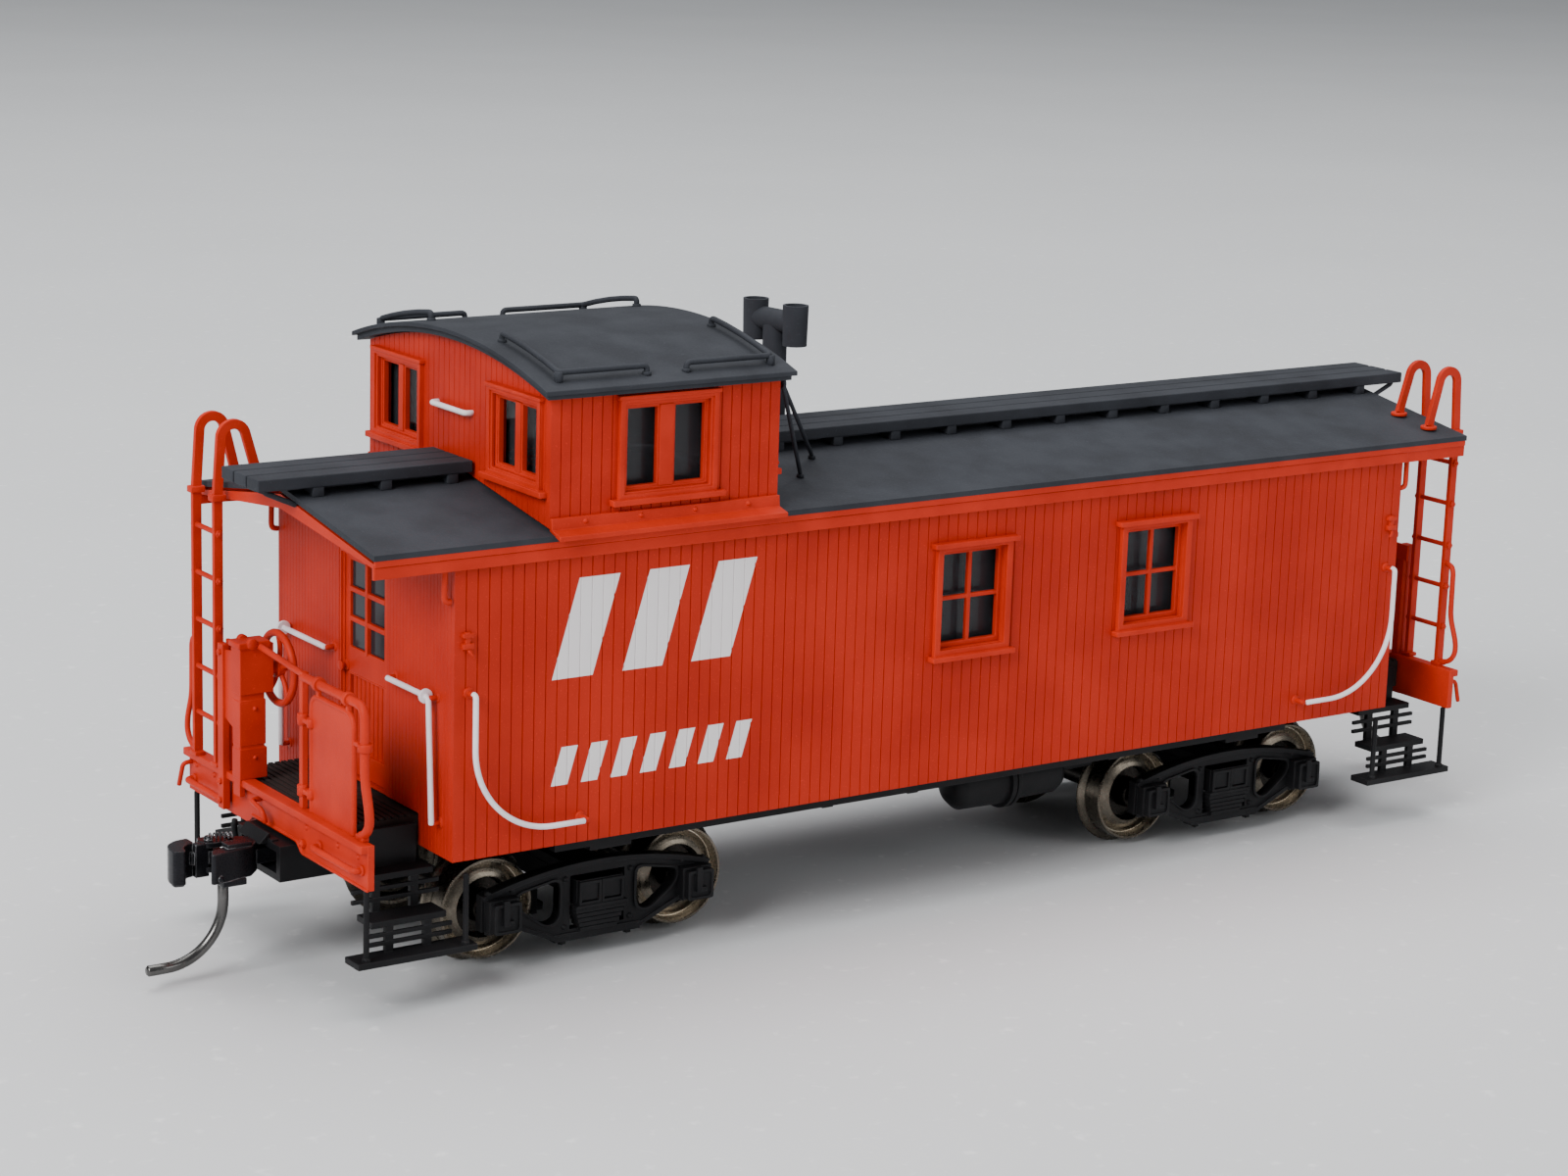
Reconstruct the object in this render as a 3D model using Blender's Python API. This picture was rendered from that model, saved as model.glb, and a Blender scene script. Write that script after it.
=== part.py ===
"""Wood-sheathed caboose with a cupola: an HO model, 1:87.1, that rolls on two sprung-style trucks.

+X runs along the car, +Z is up, and z = 0 is the plane under the wheel flanges. End A is at -X and
end B at +X. The car is the same seen from either end, so the pieces of end B are those of end A
turned half a turn about Z. The near side is -Y. Every length below is in millimetres, and meshes
are scaled to metres as they are made.
"""

import math

import bmesh
import bpy
from mathutils import Matrix, Vector

MM = 0.001
GAP = 0.3  # clearance that neighbouring pieces keep

# Body
BODY_HALF_LENGTH = 55.85
BODY_HALF_WIDTH = 16.9
BODY_BOTTOM = 12.9
WALL = 1.3
TRIM_BOTTOM = 39.2
DOOR_HALF_WIDTH = 4.6
DOOR_TOP = 36.9
DECK_TOP = 15.5
DECK_HALF_WIDTH = 10.4
FLOOR_BOTTOM = 12.7
FLOOR_TOP = 14.2
WINDOW_CENTRES = (0.2, 22.7)
WINDOW_HALF_WIDTH = 3.95
WINDOW_BOTTOM = 26.0
WINDOW_TOP = 35.7

# Roof
ROOF_HALF_LENGTH = 64.07
ROOF_HALF_WIDTH = 17.7
EAVE_TOP = 41.36
RIDGE_TOP = 44.2
ROOF_THICKNESS = 0.5
ROOF_SLOPE = (RIDGE_TOP - EAVE_TOP) / ROOF_HALF_WIDTH
ROOFWALK_HALF_WIDTH = 3.8
ROOFWALK_TOP = 45.6
ROOFWALK_THICKNESS = 1.1
ROOFWALK_END = 67.95
SADDLE_PITCH = 7.0

# Cupola
CUPOLA_A = -46.4
CUPOLA_B = -22.46
CUPOLA_MIDDLE = (CUPOLA_A + CUPOLA_B) / 2
CUPOLA_HALF_WIDTH = 16.7
CUPOLA_WALL = 1.2
CUPOLA_EAVE = 54.2
CUPOLA_CROWN = 57.1
CUPOLA_ROOF_HALF_WIDTH = 18.0
CUPOLA_ROOF_A = -47.7
CUPOLA_ROOF_B = -21.5
CUPOLA_ROOF_THICKNESS = 0.75
CUPOLA_RISE = CUPOLA_CROWN - CUPOLA_EAVE
CUPOLA_ARC = (CUPOLA_ROOF_HALF_WIDTH**2 + CUPOLA_RISE**2) / (2 * CUPOLA_RISE)

# End platforms
SILL_FACE = 64.65
SILL_BACK = 64.0
SILL_LIP = 65.3
SILL_HALF_WIDTH = 17.9
SILL_BOTTOM = 11.9
SILL_RAISED_BOTTOM = 12.75
SILL_TOP = 16.0
PLATFORM_FOOT = SILL_TOP + GAP
LADDER_STILES = (10.55, 15.0)
LADDER_FRONT = 65.55
LADDER_BACK = 64.65
LADDER_RUNGS = (37.9, 33.5, 29.05, 24.6, 20.2)
BRAKE_COLUMN_Y = 6.0
BRAKE_WHEEL_X = -61.3
BRAKE_WHEEL_Z = 25.9
BRAKE_WHEEL_RADIUS = 3.25
RAILING_X = -64.3
STEP_CENTRE = 59.4

# Trucks: 33 inch wheels at 1:87.1, to the 16.5 mm gauge wheel standard
TRUCK_CENTRE = 38.1
HALF_WHEELBASE = 10.3
AXLE_HEIGHT = 5.5
TREAD_RADIUS = 4.8
FLANGE_RADIUS = 5.5
WHEEL_FACE = 9.96
WHEEL_BACK = 7.2
AXLE_RADIUS = 1.1
JOURNAL_RADIUS = 0.65
JOURNAL_END = 12.8
FRAME_INSIDE = 11.3
FRAME_OUTSIDE = 12.6
JOURNAL_LID = 14.3

# Couplers
COUPLER_PIVOT = -59.5
COUPLER_HEIGHT = 10.75
COUPLER_LOW = 9.4
COUPLER_HIGH = 12.2
KNUCKLE_PIN = (-70.4, 1.55)
BOX_FRONT = 66.2
BOX_REAR = 55.2
BOX_HALF_WIDTH = 4.2
BOX_BOTTOM = 9.1
BOX_TOP = 12.4


def roof_top(y):
    """Height of the main roof's upper surface."""
    return RIDGE_TOP - ROOF_SLOPE * abs(y)


def cupola_top(y):
    """Height of the cupola roof's upper surface, an arc across the car."""
    return CUPOLA_CROWN - CUPOLA_ARC + math.sqrt(CUPOLA_ARC**2 - y**2)


# Closed solids, each as a bmesh in millimetres


def box(low, high):
    """A block between two corners."""
    solid = bmesh.new()
    bmesh.ops.create_cube(solid, size=1.0)
    for vertex in solid.verts:
        vertex.co = Vector(a + (c + 0.5) * (b - a) for a, b, c in zip(low, high, vertex.co))
    return solid


def prism(axis, outline, start, end):
    """An outline of pairs in the two other axes, in XYZ order, drawn out from start to end."""
    along = "xyz".index(axis)
    across = [i for i in range(3) if i != along]
    solid = bmesh.new()
    corners = []
    for pair in outline:
        place = Vector((0, 0, 0))
        place[along] = start
        place[across[0]], place[across[1]] = pair
        corners.append(solid.verts.new(place))
    face = solid.faces.new(corners)
    drawn = bmesh.ops.extrude_face_region(solid, geom=[face])["geom"]
    for item in drawn:
        if isinstance(item, bmesh.types.BMVert):
            item.co[along] = end
    bmesh.ops.recalc_face_normals(solid, faces=solid.faces)
    return solid


def rod(points, radius, sides=8):
    """A round bar along the points, mitred where it turns."""
    points = [Vector(point) for point in points]
    runs = [(b - a).normalized() for a, b in zip(points, points[1:])]
    side = runs[0].orthogonal().normalized()
    other = runs[0].cross(side)
    angles = [2 * math.pi * i / sides for i in range(sides)]
    ring = [points[0] + radius * (math.cos(t) * side + math.sin(t) * other) for t in angles]
    solid = bmesh.new()
    rings = [[solid.verts.new(place) for place in ring]]
    for index, run in enumerate(runs):
        end = points[index + 1]
        turn = (run + runs[index + 1]).normalized() if index + 1 < len(runs) else run
        ring = [place + run * ((end - place).dot(turn) / run.dot(turn)) for place in ring]
        rings.append([solid.verts.new(place) for place in ring])
    for first, second in zip(rings, rings[1:]):
        for i in range(sides):
            j = (i + 1) % sides
            solid.faces.new((first[i], first[j], second[j], second[i]))
    solid.faces.new(rings[0])
    solid.faces.new(rings[-1])
    bmesh.ops.recalc_face_normals(solid, faces=solid.faces)
    return solid


def lathe(axis, centre, profile, steps=24):
    """A profile of (place along the axis, radius) pairs turned about an axis through centre."""
    along = "xyz".index(axis)
    first, second = [i for i in range(3) if i != along]
    solid = bmesh.new()
    rings = []
    for distance, radius in profile:
        ring = []
        for step in range(steps if radius else 1):
            turn = 2 * math.pi * step / steps
            place = Vector(centre)
            place[along] += distance
            place[first] += radius * math.cos(turn)
            place[second] += radius * math.sin(turn)
            ring.append(solid.verts.new(place))
        rings.append(ring)
    for one, two in zip(rings, rings[1:]):
        for i in range(steps):
            j = (i + 1) % steps
            corners = [one[i % len(one)], one[j % len(one)], two[j % len(two)], two[i % len(two)]]
            solid.faces.new(list(dict.fromkeys(corners)))
    if len(rings[0]) > 1:
        solid.faces.new(rings[0])
    if len(rings[-1]) > 1:
        solid.faces.new(rings[-1])
    bmesh.ops.recalc_face_normals(solid, faces=solid.faces)
    return solid


def cylinder(axis, centre, radius, start, end, steps=16):
    return lathe(axis, centre, [(start, radius), (end, radius)], steps)


def arc(centre, radius, start, end, steps):
    """Pairs along a circular arc, from one angle to another in degrees, both included."""
    angles = [math.radians(start + (end - start) * i / steps) for i in range(steps + 1)]
    return [(centre[0] + radius * math.cos(t), centre[1] + radius * math.sin(t)) for t in angles]


def strip(path, width):
    """The outline of a flat bar of one width along a path of pairs."""
    path = [Vector(pair) for pair in path]
    left, right = [], []
    for index, place in enumerate(path):
        before = (place - path[index - 1]).normalized() if index else None
        after = (path[index + 1] - place).normalized() if index + 1 < len(path) else None
        turn = ((before or after) + (after or before)).normalized()
        normal = Vector((-turn.y, turn.x))
        reach = width / 2 / turn.dot(after or before)
        left.append(tuple(place + normal * reach))
        right.append(tuple(place - normal * reach))
    return left + right[::-1]


# Objects


def mesh_of(solids):
    """One mesh from several solids, which it uses up."""
    joined = bpy.data.meshes.new("solids")
    gathered = bmesh.new()
    for solid in solids:
        piece = bpy.data.meshes.new("piece")
        solid.to_mesh(piece)
        gathered.from_mesh(piece)
        bpy.data.meshes.remove(piece)
        solid.free()
    gathered.to_mesh(joined)
    gathered.free()
    return joined


def combine(mesh, solids, operation):
    """The mesh after a Boolean with the solids, which may overlap each other."""
    body = bpy.data.objects.new("body", mesh)
    tool = bpy.data.objects.new("tool", mesh_of(solids))
    for helper in (body, tool):
        bpy.context.scene.collection.objects.link(helper)
    boolean = body.modifiers.new("combine", "BOOLEAN")
    boolean.object = tool
    boolean.operation = operation
    boolean.solver = "EXACT"
    boolean.use_self = True
    bpy.context.view_layer.update()
    result = bpy.data.meshes.new_from_object(body.evaluated_get(bpy.context.evaluated_depsgraph_get()))
    bpy.data.objects.remove(body)
    bpy.data.objects.remove(tool)
    return result


def shape(add, cut=(), smooth=False):
    """The mesh of the fused solids in add less those in cut, scaled to metres."""
    mesh = mesh_of(add[:1])
    if len(add) > 1:
        mesh = combine(mesh, add[1:], "UNION")
    if cut:
        mesh = combine(mesh, cut, "DIFFERENCE")
    tidy = bmesh.new()
    tidy.from_mesh(mesh)
    bmesh.ops.remove_doubles(tidy, verts=tidy.verts, dist=1e-4)
    bmesh.ops.dissolve_limit(
        tidy, angle_limit=math.radians(0.05), verts=tidy.verts, edges=tidy.edges
    )
    bmesh.ops.triangulate(tidy, faces=[face for face in tidy.faces if len(face.verts) > 4])
    tidy.to_mesh(mesh)
    tidy.free()
    mesh.transform(Matrix.Scale(MM, 4))
    if smooth:
        mesh.shade_smooth()
        mesh.set_sharp_from_angle(angle=math.radians(35))
    return mesh


def mirrored(mesh, axis):
    """A copy of the mesh mirrored in X or Y."""
    copy = mesh.copy()
    copy.transform(Matrix.Scale(-1, 4, Vector((axis == "x", axis == "y", 0))))
    copy.flip_normals()
    return copy


def place(name, mesh, material, at=(0, 0, 0), turned=False, parent=None):
    """Puts the mesh in the scene as a named piece, half a turn about Z if turned."""
    piece = bpy.data.objects.new(name, mesh)
    if not mesh.materials:
        mesh.materials.append(material)
    piece.location = Vector(at) * MM
    piece.rotation_euler.z = math.pi if turned else 0
    piece.parent = parent
    bpy.context.scene.collection.objects.link(piece)
    return piece


def at_both_ends(name, mesh, material):
    """A piece modelled at end A, and its copy at end B."""
    place(name + "_a", mesh, material)
    place(name + "_b", mesh, material, turned=True)


def pivot(name, at, turned):
    """An empty that a moving group hangs from."""
    empty = bpy.data.objects.new(name, None)
    empty.location = Vector(at) * MM
    empty.rotation_euler.z = math.pi if turned else 0
    bpy.context.scene.collection.objects.link(empty)
    return empty


def finish(name, color, roughness, metallic=0.0, alpha=1.0):
    material = bpy.data.materials.new(name)
    material.use_nodes = True
    surface = material.node_tree.nodes["Principled BSDF"]
    surface.inputs["Base Color"].default_value = (*color, 1)
    surface.inputs["Roughness"].default_value = roughness
    surface.inputs["Metallic"].default_value = metallic
    surface.inputs["Alpha"].default_value = alpha
    return material


# Body, floor and frame


def body_shell():
    """Four sheathed walls, open above and below, whose end walls rise into the gable."""
    half = BODY_HALF_WIDTH
    under_roof = ROOF_THICKNESS + GAP
    gable = [
        (-half, BODY_BOTTOM),
        (half, BODY_BOTTOM),
        (half, roof_top(half) - under_roof),
        (0, RIDGE_TOP - under_roof),
        (-half, roof_top(half) - under_roof),
    ]
    outside = prism("x", gable, -BODY_HALF_LENGTH, BODY_HALF_LENGTH)
    room = box(
        (WALL - BODY_HALF_LENGTH, WALL - half, BODY_BOTTOM - 1),
        (BODY_HALF_LENGTH - WALL, half - WALL, RIDGE_TOP + 1),
    )
    cuts = [room]
    for middle in WINDOW_CENTRES:
        low = (middle - WINDOW_HALF_WIDTH, -half - 1, WINDOW_BOTTOM)
        high = (middle + WINDOW_HALF_WIDTH, half + 1, WINDOW_TOP)
        cuts.append(box(low, high))
    reach = BODY_HALF_LENGTH + 1
    doors = box((-reach, -DOOR_HALF_WIDTH, DECK_TOP), (reach, DOOR_HALF_WIDTH, DOOR_TOP))
    deck_slot = DECK_HALF_WIDTH + GAP
    decks = box((-reach, -deck_slot, BODY_BOTTOM - 1), (reach, deck_slot, DECK_TOP + GAP))
    return shape([outside], cuts + [doors, decks])


def floor():
    """The floor inside the walls, with a platform deck past each end wall."""
    inside_x = BODY_HALF_LENGTH - WALL - GAP
    inside_y = BODY_HALF_WIDTH - WALL - GAP
    deck_end = SILL_BACK - GAP
    board = box((-inside_x, -inside_y, FLOOR_BOTTOM), (inside_x, inside_y, FLOOR_TOP))
    decks = []
    for low, high in ((-deck_end, -50), (50, deck_end)):
        corner = (low, -DECK_HALF_WIDTH, FLOOR_BOTTOM)
        decks.append(box(corner, (high, DECK_HALF_WIDTH, DECK_TOP)))
    return shape([board] + decks)


def centre_sill():
    """The spine under the floor, its bolsters, cross bearers and side sills."""
    top = FLOOR_BOTTOM - GAP
    end = BOX_REAR - GAP
    solids = [box((-end, -2.0, 10.3), (end, 2.0, top))]
    for x in (-TRUCK_CENTRE, TRUCK_CENTRE):
        solids.append(box((x - 2.2, -14.5, 11.0), (x + 2.2, 14.5, top)))
        solids.append(cylinder("z", (x, 0, 0), 2.8, 9.9, 11.5, 12))
    for x in (-14, -4, 21):
        solids.append(box((x - 0.6, -14.5, 11.3), (x + 0.6, 14.5, top)))
    for y in (-14, 14):
        solids.append(box((-44, y - 0.5, 11.4), (44, y + 0.5, top)))
    return shape(solids)


def main_roof():
    """A shallow gabled sheet with an opening under the cupola."""
    half = ROOF_HALF_WIDTH
    gable = [
        (-half, EAVE_TOP - ROOF_THICKNESS),
        (0, RIDGE_TOP - ROOF_THICKNESS),
        (half, EAVE_TOP - ROOF_THICKNESS),
        (half, EAVE_TOP),
        (0, RIDGE_TOP),
        (-half, EAVE_TOP),
    ]
    sheet = prism("x", gable, -ROOF_HALF_LENGTH, ROOF_HALF_LENGTH)
    inset = CUPOLA_WALL
    hatch = box(
        (CUPOLA_A + inset, inset - CUPOLA_HALF_WIDTH, EAVE_TOP - 2),
        (CUPOLA_B - inset, CUPOLA_HALF_WIDTH - inset, RIDGE_TOP + 2),
    )
    return shape([sheet], [hatch])


def eave_trim():
    """The letterboards along both sides and the gable boards at both ends, as one frame."""
    outer = ROOF_HALF_WIDTH - 0.2
    inner = BODY_HALF_WIDTH + GAP
    end = ROOF_HALF_LENGTH - 0.07
    below = ROOF_THICKNESS + GAP
    solids = []
    for side in (-1, 1):
        ys = sorted((side * inner, side * outer))
        top = roof_top(outer) - below
        solids.append(box((-end, ys[0], TRIM_BOTTOM), (end, ys[1], top)))
        board = [
            (-outer, 40.2),
            (0, 42.1),
            (outer, 40.2),
            (outer, roof_top(outer) - below),
            (0, RIDGE_TOP - below),
            (-outer, roof_top(outer) - below),
        ]
        xs = sorted((side * end, side * (end - 0.6)))
        solids.append(prism("x", board, *xs))
    return shape(solids)


def door():
    """An end door with six glazed lights and a sunk panel, and its knob, at end A."""
    front = -BODY_HALF_LENGTH + 0.45
    back = front + 0.6
    pane = 0.2
    half = DOOR_HALF_WIDTH - GAP
    leaf = box((front, -half, DECK_TOP + 2 * GAP), (back, half, DOOR_TOP - GAP))
    knob = lathe(
        "x", (front, 3.9, 26.0), [(0.2, 0.18), (-0.3, 0.18), (-0.4, 0.42), (-0.75, 0.3), (-0.8, 0)], 10
    )
    cuts = []
    for left, right in ((-3.3, -0.25), (0.25, 3.3)):
        for bottom in (27.9, 30.75, 33.6):
            cuts.append(box((front - 1, left, bottom), (back - pane, right, bottom + 2.45)))
    cuts.append(box((front - 1, -3.3, 18.4), (front + 0.25, 3.3, 25.4)))
    return shape([leaf, knob], cuts)


def side_window():
    """A casing, cap, sill and four-light sash for a near side window, centred on x = 0."""
    outside = -BODY_HALF_WIDTH - GAP
    face = outside - 0.35
    half = WINDOW_HALF_WIDTH - GAP
    glass = half - 0.45
    bottom, top = WINDOW_BOTTOM + GAP, WINDOW_TOP - GAP
    inside = 1 - BODY_HALF_WIDTH
    sleeve = box((-half, face + 0.1, bottom), (half, inside, top))
    casing = box((-4.6, face, 25.3), (4.6, outside, 36.5))
    cap = box((-5.1, face - 0.35, 35.95), (5.1, outside, 36.6))
    ledge = box((-5.0, face - 0.5, 24.9), (5.0, outside, 25.5))
    light = box((-glass, face - 1, bottom + 0.45), (glass, inside + 1, top - 0.45))
    frame = shape([sleeve, casing, cap, ledge], [light])
    middle = (bottom + top) / 2
    sash = inside - 0.5
    mullion = box((-0.25, sash, bottom), (0.25, inside, top))
    muntin = box((-half, sash, middle - 0.22), (half, inside, middle + 0.22))
    frame.transform(Matrix.Scale(1 / MM, 4))
    whole = bmesh.new()
    whole.from_mesh(frame)
    return shape([whole, mullion, muntin])


def side_glazing():
    """One clear strip behind both near side windows."""
    y = WALL + GAP - BODY_HALF_WIDTH
    low = (WINDOW_CENTRES[0] - 5.2, y, 25.2)
    return shape([box(low, (WINDOW_CENTRES[1] + 5.2, y + 0.4, 36.5))])


def side_grab():
    """The curved grab iron beside the platform steps at end A, near side."""
    wall = -BODY_HALF_WIDTH - GAP
    stand = -18.3
    top, foot, bend = 28.2, 15.3, 8.0
    x = -54.45
    curve = arc((x + bend, foot + bend), bend, 180, 270, 7)
    path = [(x, wall, top), (x, stand + 0.4, top), (x, stand, top - 0.4)]
    path += [(a, stand, b) for a, b in curve]
    path += [(-43.6, stand, foot), (-43.2, stand + 0.4, foot), (-43.2, wall, foot)]
    return shape([rod(path, 0.3, 6)], smooth=True)


# Roof walks, ladders and cupola


def roofwalk(start, end):
    """Running boards on saddles that straddle the ridge."""
    under = ROOFWALK_TOP - ROOFWALK_THICKNESS
    half = ROOFWALK_HALF_WIDTH
    solids = [box((start, -half, under), (end, half, ROOFWALK_TOP))]
    saddle = [
        (-half, roof_top(half) + GAP),
        (0, RIDGE_TOP + GAP - 0.05),
        (half, roof_top(half) + GAP),
        (half, under + 0.2),
        (-half, under + 0.2),
    ]
    first, last = max(start, -ROOF_HALF_LENGTH) + 2.0, min(end, ROOF_HALF_LENGTH) - 2.0
    count = round((last - first) / SADDLE_PITCH)
    for i in range(count + 1):
        x = first + (last - first) * i / count
        solids.append(prism("x", saddle, x - 0.55, x + 0.55))
    return shape(solids)


def ladder():
    """Two flat stiles that arch over on to the roof, five rungs and a side grab, at end A."""
    middle = -(LADDER_FRONT + LADDER_BACK) / 2
    width = LADDER_FRONT - LADDER_BACK
    bend = 1.25
    crown, lean = 46.6, 0.35
    solids = []
    curve = arc((middle + lean + bend, crown), bend, 180, 22, 7)
    for y in LADDER_STILES:
        foot = roof_top(y - 0.6) + GAP
        path = [(middle, PLATFORM_FOOT), (middle, EAVE_TOP)] + curve + [(-61.1, foot + 0.2)]
        solids.append(prism("y", strip(path, width), y - 0.25, y + 0.25))
        solids.append(box((-61.9, y - 0.6, foot), (-60.3, y + 0.6, foot + 0.4)))
        solids.append(box((-66.0, y - 0.5, 40.9), (-64.4, y + 0.5, 41.5)))
    reach = 0.45
    for z in LADDER_RUNGS:
        ends = [(middle, LADDER_STILES[0] - reach, z), (middle, LADDER_STILES[1] + reach, z)]
        solids.append(rod(ends, 0.25, 6))
    outer = LADDER_STILES[1]
    grab = [(outer, 27.2), (16.3, 26.7), (16.4, 21.5), (17.4, 18.9), (17.5, 18.0), (17.0, 17.1), (outer, 16.6)]
    solids.append(rod([(middle, y, z) for y, z in grab], 0.28, 6))
    return shape(solids)


def cupola_section(drop, half):
    """Pairs along an arc that keeps below the cupola roof's top by drop."""
    count = 12
    ys = [half - 2 * half * i / count for i in range(count + 1)]
    return [(y, cupola_top(y) - drop) for y in ys]


def cupola_shell():
    """The cupola's four walls, standing on the main roof's slopes."""
    half = CUPOLA_HALF_WIDTH
    foot = [(-half, roof_top(half) + GAP), (0, RIDGE_TOP + GAP), (half, roof_top(half) + GAP)]
    crown = cupola_section(CUPOLA_ROOF_THICKNESS + GAP, half)
    outside = prism("x", foot + crown, CUPOLA_A, CUPOLA_B)
    inner = half - CUPOLA_WALL
    room = box((CUPOLA_A + CUPOLA_WALL, -inner, 40), (CUPOLA_B - CUPOLA_WALL, inner, 60))
    side = box((CUPOLA_MIDDLE - 4.4, -20, 44.8), (CUPOLA_MIDDLE + 4.4, 20, 52.2))
    ends = [box((-50, y - 3.9, 45.6), (-20, y + 3.9, 52.3)) for y in (-10.8, 10.8)]
    return shape([outside], [room, side] + ends)


def cupola_glazing():
    """A clear band round the inside of the cupola's windows."""
    low_x = CUPOLA_A + CUPOLA_WALL + GAP
    high_x = CUPOLA_B - CUPOLA_WALL - GAP
    half = CUPOLA_HALF_WIDTH - CUPOLA_WALL - GAP
    thick = 0.4
    band = box((low_x, -half, 44.6), (high_x, half, 53.0))
    hollow = box((low_x + thick, thick - half, 44), (high_x - thick, half - thick, 54))
    return shape([band], [hollow])


def cupola_roof():
    """An arched sheet that overhangs the cupola all round, with a drip edge along each eave."""
    half = CUPOLA_ROOF_HALF_WIDTH
    outline = cupola_section(0, half) + cupola_section(CUPOLA_ROOF_THICKNESS, half)[::-1]
    return shape([prism("x", outline, CUPOLA_ROOF_A, CUPOLA_ROOF_B)], smooth=True)


def cupola_rail():
    """The corner grab rail on the cupola roof at end A, near side."""
    corner_x, edge_y, stop_x, stop_y = -45.5, -16.3, -36.5, -6.5
    lift, root = 0.8, GAP + 0.02
    base = cupola_top(edge_y)
    path = [(stop_x, edge_y, base + root), (stop_x, edge_y, base + lift - 0.2)]
    path += [(stop_x - 0.3, edge_y, base + lift), (corner_x, edge_y, base + lift)]
    for y in (-13.0, -9.8, stop_y - 0.3):
        path.append((corner_x, y, cupola_top(y) + lift))
    path += [(corner_x, stop_y, cupola_top(stop_y) + lift - 0.2)]
    path += [(corner_x, stop_y, cupola_top(stop_y) + root)]
    stanchion = rod([(corner_x, edge_y, base + root), (corner_x, edge_y, base + lift)], 0.3, 6)
    return shape([rod(path, 0.22, 6), stanchion])


def cupola_brace():
    """Two thin stays from an eye under the cupola roof to the main roof, near side."""
    eye = (-21.7, -16.0, 52.8)
    solids = [cylinder("z", eye, 0.4, -0.4, 0.4, 8)]
    for foot_x, foot_y in ((-15.5, -10.3), (-11.3, -6.1)):
        foot = (foot_x, foot_y, roof_top(foot_y) + GAP + 0.05)
        solids.append(rod([eye, foot], 0.2, 6))
    return shape(solids)


def smoke_jack():
    """A stack that ends in a cross pipe with an open drum at each end."""
    x, y = -6.3, 8.0
    cross_z = 54.2
    drum_top, drum_bottom = 56.0, 51.95
    ends = [Vector((x - 0.45, y + 2.8, 0)), Vector((x + 0.45, y - 2.8, 0))]
    stack = cylinder("z", (x, y, 0), 1.2, roof_top(y) + 2 * GAP, cross_z, 12)
    collar = cylinder("z", (x, y, 0), 1.7, roof_top(y) + 2 * GAP, roof_top(y) + 1.1, 12)
    lift = Vector((0, 0, cross_z))
    cross = rod([ends[0] + lift, ends[1] + lift], 1.1, 10)
    drums = [cylinder("z", end, 1.38, drum_bottom, drum_top, 12) for end in ends]
    bores = []
    for end in ends:
        bores.append(cylinder("z", end, 1.05, cross_z + 0.9, drum_top + 1, 12))
        bores.append(cylinder("z", end, 1.05, drum_bottom - 1, cross_z - 1.1, 12))
    return shape([stack, collar, cross] + drums, bores, smooth=True)


# End platforms


def end_sill():
    """The end sill at end A: a plate raised over the coupler, with a lip along its top."""
    half = SILL_HALF_WIDTH
    plate = box((-SILL_FACE, -half, SILL_BOTTOM), (-SILL_BACK, half, SILL_TOP))
    lip = box((-SILL_LIP, -half, SILL_TOP - 0.7), (-SILL_BACK, half, SILL_TOP))
    arch = prism(
        "x",
        [(-5.6, SILL_BOTTOM - 1), (-4.6, SILL_RAISED_BOTTOM), (4.6, SILL_RAISED_BOTTOM), (5.6, SILL_BOTTOM - 1)],
        -SILL_LIP - 1,
        -SILL_BACK + 1,
    )
    cuts = [arch]
    for low, high in ((5.0, 7.0), (8.2, 9.9)):
        cuts.append(box((-SILL_LIP - 1, low, SILL_BOTTOM - 1), (-SILL_FACE, high, SILL_TOP + 1)))
    return shape([plate, lip], cuts)


def brake_stand():
    """The hand brake's post, web and stepped housing at end A."""
    face = -SILL_FACE - GAP
    front = face - 0.6
    y = BRAKE_COLUMN_Y
    foot = PLATFORM_FOOT
    solids = [
        box((front, y - 0.7, 14.4), (face, y + 0.7, 21)),
        box((front, y - 0.7, foot), (-63.0, y + 0.7, 28.3)),
        box((front, y - 0.8, foot), (-62.8, y + 0.8, 20.6)),
        box((front, y - 0.95, 24.4), (-62.3, y + 0.95, 28.6)),
        box((front - 0.2, y - 1.1, 28.0), (-62.8, y + 1.1, 28.9)),
        box((front - 0.1, 8.5, 12.4), (face, 9.6, 28.0)),
        box((front - 0.1, 8.5, foot), (-64.4, 9.6, 28.0)),
        box((-64.5, y, 26.5), (-64.1, 10.0, 28.2)),
    ]
    web = [(y, 20.0), (9.0, 21.3), (9.0, 27.6), (y, 28.2)]
    solids.append(prism("x", web, front, front + 0.35))
    return shape(solids)


def brake_wheel():
    """A five-spoked hand wheel on a short shaft, at end A."""
    centre = Vector((BRAKE_WHEEL_X, BRAKE_COLUMN_Y, BRAKE_WHEEL_Z))
    rim = arc((0, BRAKE_WHEEL_RADIUS), 0.38, 0, 360, 5)
    count = 18
    solid = bmesh.new()
    rings = []
    for i in range(count):
        turn = Matrix.Rotation(2 * math.pi * i / count, 3, "X")
        rings.append([solid.verts.new(centre + turn @ Vector((a, 0, r))) for a, r in rim[:-1]])
    for i, ring in enumerate(rings):
        following = rings[(i + 1) % count]
        for j in range(len(ring)):
            k = (j + 1) % len(ring)
            solid.faces.new((ring[j], ring[k], following[k], following[j]))
    bmesh.ops.recalc_face_normals(solid, faces=solid.faces)
    solids = [solid, lathe("x", centre, [(-0.7, 0.5), (-0.3, 0.8), (0.3, 0.8), (0.5, 0.4)], 10)]
    for i in range(5):
        turn = Matrix.Rotation(2 * math.pi * i / 5, 3, "X")
        solids.append(rod([centre, centre + turn @ Vector((0, 0, BRAKE_WHEEL_RADIUS))], 0.26, 5))
    return shape(solids, smooth=True)


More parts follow.
